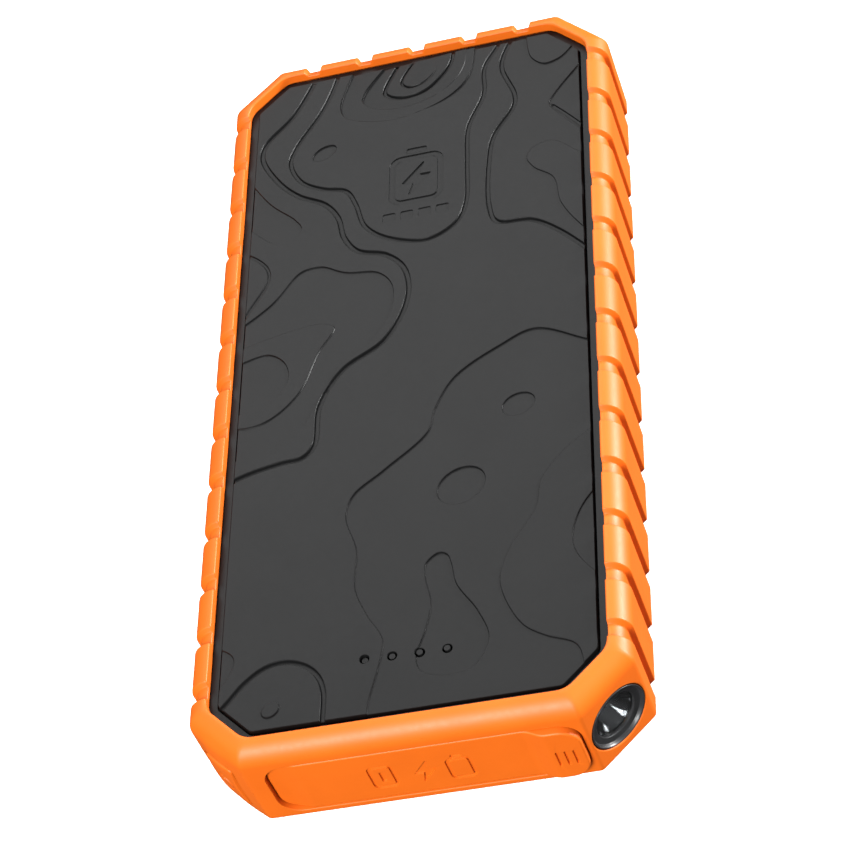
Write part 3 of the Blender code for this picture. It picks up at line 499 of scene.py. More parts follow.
class Finish:
    """Builds a node material on one Principled BSDF and keeps it in FINISH by its name."""

    def __init__(self, name, roughness, metallic=0.0, **sockets):
        material = bpy.data.materials.new(name)
        material.use_nodes = True
        FINISH[name] = material
        self.tree = material.node_tree
        self.shader = self.tree.nodes["Principled BSDF"]
        self.shader.inputs["Roughness"].default_value = roughness
        self.shader.inputs["Metallic"].default_value = metallic
        for socket, value in sockets.items():
            self.shader.inputs[socket.replace("_", " ")].default_value = value
        self.place = self.tree.nodes.new("ShaderNodeTexCoord").outputs["Object"]

    def noise(self, scale, detail=2.0, stretch=None):
        """Noise over the piece; scale is in features per metre."""
        made = self.tree.nodes.new("ShaderNodeTexNoise")
        made.inputs["Scale"].default_value = scale
        made.inputs["Detail"].default_value = detail
        source = self.place
        if stretch:
            mapping = self.tree.nodes.new("ShaderNodeMapping")
            mapping.inputs["Scale"].default_value = stretch
            self.tree.links.new(source, mapping.inputs["Vector"])
            source = mapping.outputs["Vector"]
        self.tree.links.new(source, made.inputs["Vector"])
        return made.outputs["Fac"]

    def cells(self, scale):
        made = self.tree.nodes.new("ShaderNodeTexVoronoi")
        made.inputs["Scale"].default_value = scale
        self.tree.links.new(self.place, made.inputs["Vector"])
        return made.outputs["Distance"]

    def shades(self, scale, dark, light, detail=2.0):
        """Base colour that wanders between two shades."""
        self.color(self.noise(scale, detail), (0.3, dark), (0.7, light))

    def color(self, fac, *stops):
        """Base colour from a factor through colour stops."""
        ramp = self.tree.nodes.new("ShaderNodeValToRGB")
        while len(ramp.color_ramp.elements) < len(stops):
            ramp.color_ramp.elements.new(0.5)
        for element, (position, color) in zip(ramp.color_ramp.elements, stops):
            element.position = position
            element.color = (*color, 1.0)
        self.tree.links.new(fac, ramp.inputs["Fac"])
        self.tree.links.new(ramp.outputs["Color"], self.shader.inputs["Base Color"])

    def roughness(self, fac, low, high):
        span_node = self.tree.nodes.new("ShaderNodeMapRange")
        span_node.inputs["To Min"].default_value = low
        span_node.inputs["To Max"].default_value = high
        self.tree.links.new(fac, span_node.inputs["Value"])
        self.tree.links.new(span_node.outputs["Result"], self.shader.inputs["Roughness"])

    def bump(self, fac, strength, distance):
        made = self.tree.nodes.new("ShaderNodeBump")
        made.inputs["Strength"].default_value = strength
        made.inputs["Distance"].default_value = distance
        self.tree.links.new(fac, made.inputs["Height"])
        self.tree.links.new(made.outputs["Normal"], self.shader.inputs["Normal"])


def make_rubber():
    made = Finish("orange_rubber", 0.5, Specular_IOR_Level=0.34)
    made.shades(90.0, (0.58, 0.103, 0.0042), (0.62, 0.113, 0.0051), 3.0)
    made.roughness(made.noise(900.0), 0.44, 0.54)
    made.bump(made.noise(5200.0), 0.16, 0.00004)


def make_case_plastic():
    made = Finish("case_plastic", 0.5, Specular_IOR_Level=0.17)
    made.shades(70.0, (0.0036, 0.0037, 0.0038), (0.0045, 0.0046, 0.0047), 3.0)
    made.roughness(made.noise(1500.0), 0.33, 0.43)
    made.bump(made.noise(6500.0), 0.12, 0.00003)


def make_port_plastic():
    made = Finish("port_plastic", 0.35)
    made.shades(400.0, (0.012, 0.012, 0.013), (0.020, 0.020, 0.021))
    made.roughness(made.noise(2000.0), 0.28, 0.42)


def make_bezel():
    made = Finish("bezel_plastic", 0.4, Specular_IOR_Level=0.30, Coat_Weight=0.15, Coat_Roughness=0.10)
    made.shades(400.0, (0.014, 0.014, 0.015), (0.020, 0.020, 0.021))
    made.roughness(made.noise(1600.0), 0.36, 0.48)


def make_clear():
    made = Finish("clear_plastic", 0.05, Transmission_Weight=1.0, IOR=1.49)
    made.shades(200.0, (0.93, 0.95, 0.96), (0.97, 0.98, 0.99))
    made.roughness(made.noise(900.0), 0.02, 0.06)


def make_smoked():
    made = Finish("smoked_plastic", 0.45, Specular_IOR_Level=0.20)
    made.shades(1800.0, (0.004, 0.004, 0.0042), (0.006, 0.006, 0.0062))
    made.roughness(made.noise(2600.0), 0.40, 0.50)


def make_chrome():
    made = Finish("chrome", 0.08, 1.0)
    made.shades(500.0, (0.075, 0.077, 0.08), (0.10, 0.102, 0.105))
    made.roughness(made.noise(1800.0), 0.03, 0.07)


def make_steel():
    made = Finish("steel", 0.3, 1.0)
    made.shades(700.0, (0.52, 0.52, 0.53), (0.64, 0.64, 0.65))
    made.roughness(made.noise(900.0, 3.0, (1.0, 12.0, 12.0)), 0.22, 0.38)
    made.bump(made.noise(1500.0, 2.0, (1.0, 14.0, 14.0)), 0.08, 0.00002)


def make_gold():
    made = Finish("contact_gold", 0.2, 1.0)
    made.shades(1500.0, (0.80, 0.55, 0.20), (0.92, 0.68, 0.30))
    made.roughness(made.noise(2500.0), 0.15, 0.3)


def make_board():
    made = Finish("board_laminate", 0.35, Coat_Weight=0.5, Coat_Roughness=0.15)
    made.color(made.cells(420.0), (0.08, (0.035, 0.22, 0.09)), (0.16, (0.012, 0.085, 0.035)),
               (0.60, (0.016, 0.11, 0.045)))
    made.bump(made.cells(420.0), 0.1, 0.00005)


def make_foil():
    made = Finish("pouch_foil", 0.35, 1.0)
    made.shades(300.0, (0.50, 0.51, 0.53), (0.62, 0.63, 0.65))
    made.roughness(made.noise(700.0), 0.28, 0.45)
    made.bump(made.noise(260.0, 3.0), 0.25, 0.0002)


def make_white():
    made = Finish("white_plastic", 0.45)
    made.shades(500.0, (0.72, 0.72, 0.70), (0.80, 0.80, 0.78))
    made.roughness(made.noise(1500.0), 0.38, 0.52)


def make_phosphor():
    made = Finish("phosphor", 0.4, Subsurface_Weight=0.15, Subsurface_Scale=0.001)
    made.shades(2500.0, (0.78, 0.58, 0.10), (0.90, 0.72, 0.16))
    made.roughness(made.noise(2500.0), 0.3, 0.5)


def make_silicone():
    made = Finish("grey_silicone", 0.6)
    made.shades(400.0, (0.20, 0.21, 0.23), (0.27, 0.28, 0.30))
    made.bump(made.noise(3000.0), 0.15, 0.00004)


def make_insulation(name, dark, light):
    made = Finish(name, 0.45)
    made.shades(900.0, dark, light)
    made.roughness(made.noise(1800.0), 0.36, 0.52)


def make_ferrite():
    made = Finish("ferrite", 0.65)
    made.shades(1600.0, (0.055, 0.055, 0.06), (0.10, 0.10, 0.11))
    made.bump(made.noise(4200.0), 0.3, 0.00005)


make_rubber()
make_case_plastic()
make_port_plastic()
make_bezel()
make_clear()
make_smoked()
make_chrome()
make_steel()
make_gold()
make_board()
make_foil()
make_white()
make_phosphor()
make_silicone()
make_insulation("red_insulation", (0.46, 0.012, 0.012), (0.60, 0.025, 0.02))
make_insulation("black_insulation", (0.014, 0.014, 0.015), (0.024, 0.024, 0.026))
make_ferrite()


# Rubber jacket ---------------------------------------------------------------------------

GROOVE_PROFILE = ((2.05, 0.0), (1.93, 0.02), (1.84, 0.10), (1.76, 0.24), (1.44, 0.88), (1.36, 1.00),
                  (1.24, 1.08), (1.05, 1.10), (0.0, 1.10))
CREST_ROUND = 1.3
LIP_EXTRA_ROUND = 3.4
ARC_STEPS = 6
SIDE_REACH, END_REACH = 75.6, 27.4    # how far from the middle of a side the loops have points
BAY = (-23.4, 23.4, 7.1, 17.5)        # opening over the sockets: two places in x, two in z


def groove_stations(count, pitch, reach):
    """Places along a side, up to its reach, and the groove's depth at each."""
    stations = []
    for i in range(count):
        middle = (i - (count - 1) / 2) * pitch
        stations.append((middle - pitch / 2, 0.0))
        stations += [(middle - place, depth) for place, depth in GROOVE_PROFILE]
        stations += [(middle + place, depth) for place, depth in reversed(GROOVE_PROFILE[:-1])]
    stations.append((count / 2 * pitch, 0.0))
    return [(place, depth) for place, depth in stations if abs(place) < reach]


def jacket_section():
    """Section of the wall as (inset, height, and how both move for each millimetre of groove)."""
    lean = math.tan(math.radians(22.5))
    section = [(REAR_LIP, LIP_THICKNESS, 0, 0)]
    section += [(d, z, 0, 0) for d, z in arc((REAR_LIP - 0.4, 0.4), 0.4, 0, -90, 4)]
    section += [(d, z, math.sqrt(2), 0) for d, z in arc((FOOT_CHAMFER + 0.1, 0.25), 0.25, -90, -135, 2)]
    section += [(d, z, 1, lean) for d, z in arc((0.6, FOOT_CHAMFER + 0.25), 0.6, 225, 180, 4)]
    section += [(0, z, 1, 0) for z in (5.6, 7.2, 8.9, 10.6, 12.3, 14.0, 15.7, 17.4, 19.1)]
    for k in range(15):
        angle = math.radians(84 * k / 14)
        cos, sin = math.cos(angle), math.sin(angle)
        section.append((SHOULDER * (1 - cos), HEIGHT - SHOULDER + SHOULDER * sin, cos, -sin))
    section += [(d, z, 0, -1) for d, z in arc((FRONT_LIP - 0.3, HEIGHT - 0.32), 0.3, 72, 0, 4)]
    section += [(FRONT_LIP, HEIGHT - 1.1, 0, -0.5), (FRONT_LIP, HEIGHT - LIP_THICKNESS, 0, 0)]
    section += [(4.0, HEIGHT - LIP_THICKNESS, 0, 0), (JACKET_WALL, HEIGHT - LIP_THICKNESS - 1.6, 0, 0)]
    section += [(JACKET_WALL, LIP_THICKNESS + 2.6, 0, 0), (JACKET_WALL + 2.6, LIP_THICKNESS, 0, 0)]
    return section


def swell(across, up):
    """How far the corner cut bulges round the button, from places along and up the cut."""
    round_across = np.clip(1 - (across / 7.1) ** 2, 0, 1)
    round_up = np.clip(1 - (up / 10.5) ** 2, 0, 1)
    return BUTTON_SWELL * round_across * round_up


def swollen(point):
    """Point of the jacket, moved out where it lies on the cut with the button."""
    place = BUTTON_FRAME.inverted() @ point
    share = min(max(1 + place.z / 2.0, 0.0), 1.0)
    return point + BUTTON_FRAME.to_3x3() @ Vector((0, 0, share * swell(place.x, place.y)))


def jacket_ring(inset, height, inset_gain, height_gain, stations):
    """One closed loop round the jacket."""
    corners = [Vector(c) for c in octagon(0.0)]
    if height > HEIGHT / 2:
        radius = CREST_ROUND + LIP_EXTRA_ROUND * min(max(inset - 0.8, 0.0) / 3.3, 1.0) ** 2
    else:
        radius = min(CREST_ROUND + 0.2 * inset, 2.4)
    tangent = radius * math.tan(math.radians(22.5))
    ring = []
    for k in range(8):
        here, after = corners[k], corners[(k + 1) % 8]
        along = (after - here).normalized()
        before = (here - corners[k - 1]).normalized()
        inwards = Vector((-along.y, along.x))
        inwards_before = Vector((-before.y, before.x))
        corner = Vector(octagon(inset)[k])
        middle = corner - before * tangent + inwards_before * radius
        for j in range(ARC_STEPS + 1):
            out = Matrix.Rotation(math.radians(45 * j / ARC_STEPS), 2) @ -inwards_before
            point = middle + out * radius
            ring.append(swollen(Vector((point.x, point.y, height))))
        middle = (here + after) / 2
        for place, depth in stations[k]:
            point = middle + along * place + inwards * (inset + inset_gain * depth)
            ring.append(swollen(Vector((point.x, point.y, height + height_gain * depth))))
    return ring


def flap_outline(wider):
    left, right = ANCHOR_LOW.x - wider, FLAP_HIGH.x + wider
    return rounded(rectangle(left, right, FLAP_LOW.z - wider, FLAP_HIGH.z + wider), FLAP_ROUND + wider, 10)


def button_outline(wider):
    width, height = BUTTON_SIZE
    return rounded(centred(width + 2 * wider, height + 2 * wider), BUTTON_ROUND + wider, 6)


def build_jacket():
    side = groove_stations(SIDE_GROOVES, SIDE_PITCH, SIDE_REACH)
    end = groove_stations(END_GROOVES, END_PITCH, END_REACH)
    plain = [(8.0 * k, 0.0) for k in range(-3, 4)]
    short = [(0.8 * k, 0.0) for k in range(-4, 5)]
    stations = [side, short, end, short, side, short, plain, short]
    rings = [jacket_ring(*place, stations) for place in jacket_section()]
    jacket = skin("jacket", rings, ring_of_rings=True)
    face = -FRONT
    boolean(jacket, mouth_cutter(lambda e: flap_outline(GAP + e), face - 1.8, face, 0.16, END_FRAME))
    bay = rounded(rectangle(*BAY), 0.8)
    boolean(jacket, upright("bay", bay, face - 4.0, face - 1.0, END_FRAME))
    torch_mouth = BEZEL_RADIUS + GAP
    boolean(jacket, mouth_cutter(lambda e: circle(0, 0, torch_mouth + e, 96), -4.5, 0.0, 0.3, TORCH_FRAME))
    boolean(jacket, mouth_cutter(lambda e: button_outline(GAP + e), -4.5, 1.7, 0.08, BUTTON_FRAME))
    dress(jacket, "body", "orange_rubber", "rubber_jacket", sharp=34.0)


# Front panel -----------------------------------------------------------------------------

def tilt(rate, zero):
    """Rise that grows with x."""
    return lambda points: rate * (points[:, 0] - zero)


def fading(depth, start, end):
    """Depth that fades to nothing from one x to another."""
    return lambda points: depth * np.clip((end - points[:, 0]) / (end - start), 0.0, 1.0)


def panel_channels():
    """Wide contour lines of the panel's map."""
    west = [(-19.5, 92), (-27.5, 74), (-33.5, 66.5), (-34, 62.5), (-30, 54.5), (-25.5, 49.5),
            (-19.5, 45.5), (-16.5, 41), (-15, 35), (-12, 30.5), (-6, 28), (-2, 23.5), (-1, 15.5),
            (-5.5, 5), (-14, -1), (-18.5, -9), (-19.3, -19), (-21.5, -21.7), (-26, -22.2), (-34, -24),
            (-42, -28)]
    centre = [(-15.5, 92), (-20.5, 75), (-26.5, 64), (-27.6, 59.5), (-25, 53.5), (-20.5, 50.3),
            (-15, 48.2), (-12.8, 44), (-10.5, 37), (-5.5, 32.5), (3, 30), (9, 33.3), (11, 38.5),
            (11.2, 50), (11.5, 60), (14.8, 69), (15, 77), (18, 83), (22, 91)]
    east = [(25, 92), (19.2, 79.5), (18.8, 75.5), (21.5, 67), (21.3, 63.6), (17, 56), (15.9, 49),
            (15.9, 36), (17.5, 31.3), (24.5, 30), (30, 26), (42, 12)]
    hill = [(-1, 90), (-7, 77.8), (-7.3, 75.8), (-5.8, 74.1), (-2.8, 73), (2, 73.6), (6, 77.3),
            (7.9, 81), (7.8, 92)]
    peak = [(4, 90), (-3.3, 79), (-3.4, 77.3), (-2, 75.9), (1, 76), (3.6, 78), (5, 81.5), (5, 92)]
    foot = [(-42, -84.5), (-34.5, -77.2), (-30.3, -72.3), (-26.5, -69.7), (-23, -69.2), (-19.3, -70.5),
            (-16.7, -73), (-15.4, -76.5), (-15.3, -83), (-15.3, -92)]
    notch = [(29.6, 61.6), (33, 57.6), (42, 46)]
    bay = [(-42, 38.5), (-34, 33.5), (-31.2, 29.8), (-31, 26.5), (-34.8, 19), (-42, 5)]
    return [
        Channel(smooth(west), 1.1, 0.60),
        Channel(smooth(centre), 0.95, 0.54),
        Channel(smooth(east), 1.0, 0.58),
        Channel(smooth(hill), 0.9, 0.58),
        Channel(smooth(peak), 0.6, fading(0.5, -1.0, 4.5)),
        Channel(smooth(foot), 1.0, 0.58),
        Channel(smooth(notch), 0.85, 0.30),
        Channel(smooth(bay), 0.7, 0.30),
    ]


def rear_terraces():
    """Terraces between the thin contour lines, on the half away from the ports."""
    top_hill = [(-12, 90), (-17, 74), (-15.6, 70), (-9.8, 67.4), (-3, 66.8), (7, 70), (11.5, 75),
            (13.5, 90)]
    mid_hill = [(-2, 90), (-11.8, 77), (-12.2, 74.5), (-9.9, 71.7), (-5, 70.1), (1, 70.3), (7, 73),
            (10.5, 78), (11, 90)]
    corner = [(24.4, 92), (24.6, 80), (25.5, 76.5), (28.1, 74.2), (31.4, 75), (34.3, 78), (40, 86)]
    wedge = [(44, 83), (30, 64.7), (28.9, 62.3), (30, 60), (44, 43)]
    lobe = [(44, 40), (35.3, 46.1), (29.5, 51), (25.3, 50), (24, 47.5), (25.5, 44.3), (29.5, 40.5),
            (31, 33), (35.4, 25.2), (44, 15)]
    cove = [(-42, 66), (-31.7, 48.8), (-25.9, 42.7), (-24.3, 39.7), (-26, 37.3), (-30, 37),
            (-35.2, 41.5), (-42, 47)]
    basin = [(-44, 10), (-30.2, 19.8), (-23.9, 27.5), (-19.8, 28), (-14.5, 25.2), (-7.5, 23.5),
            (-4.4, 19.5), (-4.6, 12), (-9, 4.6), (-14, 1), (-18, -6), (-22.6, -14.9), (-27, -17.7),
            (-44, -21)]
    tongue = [(-44, 6.5), (-29.8, 11), (-19, 12.3), (-16.3, 10.8), (-19.3, 5), (-23.5, -5.5),
            (-31, -11.3), (-44, -10)]
    pond = [(-44, 2), (-35, 5.8), (-30, 6.6), (-26.3, 3.5), (-25.6, -1.5), (-30.5, -7.3), (-44, -7)]
    return [
        Step(smooth(top_hill), tilt(0.036, -1.5)),
        Step(smooth(mid_hill), tilt(0.034, 5.0)),
        Step(smooth(corner), 0.34, far=[(40, 92)]),
        Step(smooth(wedge), -0.34),
        Step(smooth(lobe), 0.26),
        Step(smooth(cove), -0.32),
        Step(smooth(basin), -0.36),
        Step(smooth(tongue), 0.30),
        Step(smooth(pond), -0.34),
    ]


def front_terraces():
    """Terraces on the half with the indicator lights."""
    plain = [(46, -10), (35.3, -4.3), (25, 0.8), (18, -1.9), (8.9, -7.9), (5, -15), (3.6, -20.5),
            (-4.9, -28), (-11, -33), (-12.3, -38), (-10, -46), (-10, -55), (-7.5, -61.5), (-4.4, -67.5),
            (-5.2, -74), (-6.8, -81), (-7, -92)]
    drop = [(6, -49.6), (3.6, -51.5), (3.4, -54.5), (4.6, -61), (3.6, -66.5), (1.9, -72.5), (3, -75.5),
            (7, -77), (12.5, -76.2), (15.5, -70.5), (13.5, -64.2), (9.4, -57.3), (8.4, -52.5),
            (7.6, -50.3)]
    shelf = [(44, -21), (35.4, -26.4), (30, -30.8), (25.8, -36.5), (24.6, -43), (19.8, -51),
            (17.7, -57.5), (18.6, -62.5), (22, -69), (26, -72), (31.5, -74.8), (32.8, -78.5), (32, -92)]
    inlet = [(44, -34), (35.6, -41.2), (32.6, -46), (31.4, -51.5), (32.6, -55.8), (44, -69)]
    nook = [(-44, -62), (-35.4, -64.2), (-33, -66.5), (-33.6, -70.1), (-44, -84)]
    return [
        Step(smooth(plain), -0.36, far=[(46, -92)]),
        Step(smooth(drop, True), -0.34, True),
        Step(smooth(shelf), 0.24, far=[(44, -92)]),
        Step(smooth(inlet), -0.30),
        Step(smooth(nook), -0.24),
    ]


def ovals():
    """Three oval hollows and a knoll."""
    return [
        Step(ellipse(-20.1, 60.7, 5.6, 3.5, 30), -0.34, True),
        Step(ellipse(21.5, -17.3, 6.6, 5.2, 20), -0.30, True),
        Step(ellipse(10.2, -34.7, 9.8, 8.2, 30), -0.34, True),
        Step(ellipse(-25.2, -79.2, 3.7, 2.9, 40), 0.28, True),
    ]


def emblem(x, y):
    """Battery outline with a bolt in it, over a row of level bars."""
    body = rounded(centred(10.4, 12.6, x, y - 0.6), 2.0, 6)
    cap = rounded(centred(4.4, 1.5, x, y + 7.6), 0.5, 4)
    bolt = rounded([(x + 1.9, y + 4.4), (x - 3.3, y - 1.7), (x - 0.7, y - 1.7), (x - 1.9, y - 5.6),
                    (x + 3.3, y + 0.5), (x + 0.7, y + 0.5)], 0.18, 3)
    features = engraved_band(body, 1.3, 0.26) + [engraved(cap, 0.26), engraved(bolt, 0.34)]
    for i in range(4):
        bar = rounded(centred(2.7, 2.3, x - 5.7 + 3.8 * i, y - 10.6), 0.4, 3)
        features.append(engraved(bar, 0.22))
    return features


def light_places():
    return [(i - (LIGHT_COUNT - 1) / 2) * LIGHT_PITCH for i in range(LIGHT_COUNT)]


def panel_outline(inset):
    return rounded(octagon(inset), PANEL_ROUND, 8)


def build_front_panel():
    inset = WIDTH / 2 - PANEL_HIGH.x
    outline = panel_outline(inset)
    features = panel_channels() + rear_terraces() + front_terraces() + ovals() + emblem(0.3, 48.6)
    edge = [(0.0, 1.0), (0.20, 0.07), (0.22, 0.03), (0.26, 0.005), (0.30, 0.0), (0.5, 0.0)]
    holes = [circle(x, LIGHT_Y, LIGHT_HOLE, 28) for x in light_places()]
    rows = rows_of(features) + edge_rows(lambda e: panel_outline(inset + e), edge)
    for wider in (0.03, 0.08, 0.2):
        rows += [(circle(x, LIGHT_Y, LIGHT_HOLE + wider, 28), True) for x in light_places()]

    def height(points):
        top = relief(PANEL_HIGH.z, features, points)
        top -= edge_drop(distance_to(points, outline, True, 0.6), edge)
        for hole in holes:
            top -= edge_drop(distance_to(points, hole, True, 0.2), round_edge(0.08))
        return top

    panel = slab("front_panel_map", outline, PANEL_LOW.z, height, rows, holes)
    dress(panel, "body", "case_plastic", "front_panel", sharp=28.0)


def build_rear_panel():
    """Rear panel, with a quieter map of the same kind."""
    inset = WIDTH / 2 - REAR_PANEL_HIGH.x
    outline = panel_outline(inset)
    ridge = smooth([(-44, 62), (-25, 58), (-12, 64), (2, 60), (8, 46), (20, 38), (34, 42), (44, 38)])
    valley = smooth([(-44, 20), (-28, 24), (-16, 18), (-8, 4), (4, -6), (20, -4), (32, 6), (44, 4)])
    shore = smooth([(-44, -30), (-26, -26), (-14, -34), (-10, -50), (2, -58), (18, -54), (30, -60),
                    (44, -58)])
    hill = smooth([(14, 14), (24, 18), (28, 26), (20, 30), (10, 26), (8, 18)], True)
    pool = smooth([(-24, -4), (-16, -10), (-20, -18), (-30, -16), (-32, -8)], True)
    features = [Channel(ridge, 0.9, 0.30), Channel(valley, 0.9, 0.30), Channel(shore, 0.9, 0.30),
                Step(hill, -0.18, True), Step(pool, -0.18, True)]
    edge = round_edge(0.2)
    rows = rows_of(features) + edge_rows(lambda e: panel_outline(inset + e), edge)

    def height(points):
        top = relief(-REAR_PANEL_LOW.z, features, points)
        return top - edge_drop(distance_to(points, outline, True, 0.3), edge)

    flip = Matrix.Rotation(math.pi, 4, "Y")
    panel = slab("rear_panel_map", outline, -REAR_PANEL_HIGH.z, height, rows, matrix=flip)
    dress(panel, "body", "case_plastic", "rear_panel", sharp=28.0)


# Flap ------------------------------------------------------------------------------------

TAB_RAMP = (20.0, 24.5)
STRAP_RAMP = (-25.6, -21.6)


def flap_face(x):
    """How far the flap's outer face stands forward at each x."""
    rise = np.clip((x - STRAP_RAMP[0]) / (STRAP_RAMP[1] - STRAP_RAMP[0]), 0, 1)
    tab = np.clip((x - TAB_RAMP[0]) / (TAB_RAMP[1] - TAB_RAMP[0]), 0, 1)
    base = -STRAP_FACE + (STRAP_FACE - FLAP_FACE) * (1 - np.cos(np.pi * rise)) / 2
    return base + (FLAP_FACE - FLAP_LOW.y) * (1 - np.cos(np.pi * tab)) / 2


def flap_signs():
    """Engraved signs: a socket, a bolt and a battery, and three bars on the pull tab."""
    socket = rounded(centred(4.2, 6.4, -7.3, 11.8), 0.9, 5)
    tongue = rounded(centred(0.9, 3.2, -7.3, 11.8), 0.3, 3)
    bolt = rounded([(1.7, 15.5), (-1.7, 11.1), (0.2, 11.1), (-0.6, 8.0), (2.9, 12.5), (1.0, 12.5)], 0.15, 3)
    battery = rounded(centred(4.2, 6.0, 7.1, 11.2), 0.9, 5)
    cap = rounded(centred(2.0, 0.9, 7.1, 15.2), 0.3, 3)
    signs = engraved_band(socket, 0.7, 0.4) + engraved_band(battery, 0.7, 0.4)
    signs += [engraved(shape, 0.4) for shape in (tongue, bolt, cap)]
    for x in (25.1, 26.7, 28.3):
        signs.append(engraved(rounded(centred(0.5, 4.4, x, 11.5), 0.2, 3), 0.45))
    return signs


def build_flap():
    """The flap, its strap and its pegs, built as one moulding."""
    signs = flap_signs()
    outline = flap_outline(0.0)
    edge = round_edge(0.4)
    rows = rows_of(signs) + edge_rows(lambda e: flap_outline(-e), edge)
    levels = [-27.6 + 0.3 * k for k in range(22)] + [TAB_RAMP[0] + 0.45 * k for k in range(11)]
    rows += [([Vector((x, FLAP_LOW.z - 1)), Vector((x, FLAP_HIGH.z + 1))], False) for x in levels]

    def height(points):
        top = relief(flap_face(points[:, 0]), signs, points)
        return top - edge_drop(distance_to(points, outline, True, 0.5), edge)

    flap = slab("port_flap", outline, -FLAP_BACK, height, rows, dense=True, matrix=END_FRAME)
    rib = rounded(rectangle(-21.8, 21.8, 8.7, 15.9), 1.0, 6)
    boolean(flap, upright("rib", rib, -FLAP_BACK - 2.2, -FLAP_BACK + 0.2, END_FRAME), "UNION")
    hollow = rounded(rectangle(-20.8, 20.8, 9.7, 14.9), 0.6, 6)
    boolean(flap, upright("rib_hollow", hollow, -FLAP_BACK - 3.0, -FLAP_BACK, END_FRAME))
    for z in (9.0, 15.7):
        boolean(flap, upright("peg", circle(-26.9, z, 1.0, 24), 85.5, 87.8, END_FRAME), "UNION")
    dress(flap, None, "orange_rubber", "usb_flap", "flap_anchor", sharp=34.0)
    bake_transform(flap)


# Button ----------------------------------------------------------------------------------

def build_button():
    outline = button_outline(-BUTTON_SHY)
    sign = engraved_band(circle(0.0, -0.4, 2.0, 48), 0.45, 0.16)
    sign.append(engraved(rounded(centred(0.5, 2.4, 0.0, 1.6), 0.2, 3), 0.16))
    edge = round_edge(0.3)
    rows = rows_of(sign) + edge_rows(lambda e: button_outline(-BUTTON_SHY - e), edge)
    dots = [(x, y) for x in np.arange(-3.5, 3.6, 0.5) for y in np.arange(-5.5, 5.6, 0.5)]

    def height(points):
        crown = 0.15 + swell(points[:, 0], points[:, 1])
        return relief(crown - edge_drop(distance_to(points, outline, True, 0.3), edge), sign, points)

    key = slab("button_key", outline, -1.8, height, rows, dots=dots, matrix=BUTTON_FRAME)
    stem = rounded(centred(4.4, 5.0), 1.0, 4)
    boolean(key, upright("stem", stem, -5.6, -1.0, BUTTON_FRAME), "UNION")
    dress(key, "button", "orange_rubber", "power_button", sharp=34.0)


# Torch -----------------------------------------------------------------------------------

def build_torch():
    """Dished bezel, lens, reflector and emitter."""
    bezel = arc((BEZEL_RADIUS - 0.15, -0.17), 0.15, 0, 150, 5)
    bezel += arc((BEZEL_RADIUS - 0.75, -0.55), 0.25, 0, -90, 5)
    bezel += [(4.78, -0.90), (4.68, -1.00), (4.68, -1.75), (4.75, -1.95), (4.75, -9.4), (5.4, -9.4)]
    bezel += [(5.4, -2.1), (BEZEL_RADIUS, -2.1)]
    ring = turned("torch_ring", bezel, TORCH_FRAME)
    dress(ring, "body", "bezel_plastic", "torch_bezel", slot="case_plastic")
    lens = [(0.0, -1.25), (2.4, -1.28), (4.4, -1.36)] + arc((4.5, -1.5), 0.12, 90, 0, 3)
    lens += [(4.62, -1.75), (0.0, -1.75)]
    window = turned("torch_window", lens, TORCH_FRAME)
    dress(window, "body", "clear_plastic", "torch_lens")
    cup = [(2.0 + 2.5 * k / 12, -5.9 + 4.0 * k / 12) for k in range(13)]
    outside = [(4.55, -1.9), (4.55, -2.6), (2.4, -7.4), (2.0, -7.4)]
    mirror = turned("torch_mirror", cup + outside, TORCH_FRAME)
    dress(mirror, "body", "chrome", "torch_reflector")
    dome = [(0.0, -6.7)] + arc((0.0, -7.8), 1.1, 70, 10, 3) + [(1.2, -8.2), (0.0, -8.2)]
    emitter = turned("torch_emitter", dome, TORCH_FRAME, 32)
    dress(emitter, "body", "phosphor", "torch_led")


# Ports -----------------------------------------------------------------------------------

# Corner radius, wall, thickness of the insert's base, and the tongue as (width, thickness, rise)
USB_A = (0.5, 0.35, 3.5, (11.0, 1.8, 0.7))
USB_C = (1.55, 0.3, 1.8, (6.6, 0.7, 0.0))
USB_A_CONTACTS = (1.0, (-1,), [-3.5, -1.0, 1.0, 3.5])
USB_C_CONTACTS = (0.25, (-1, 1), [0.5 * i - 2.75 for i in range(12)])


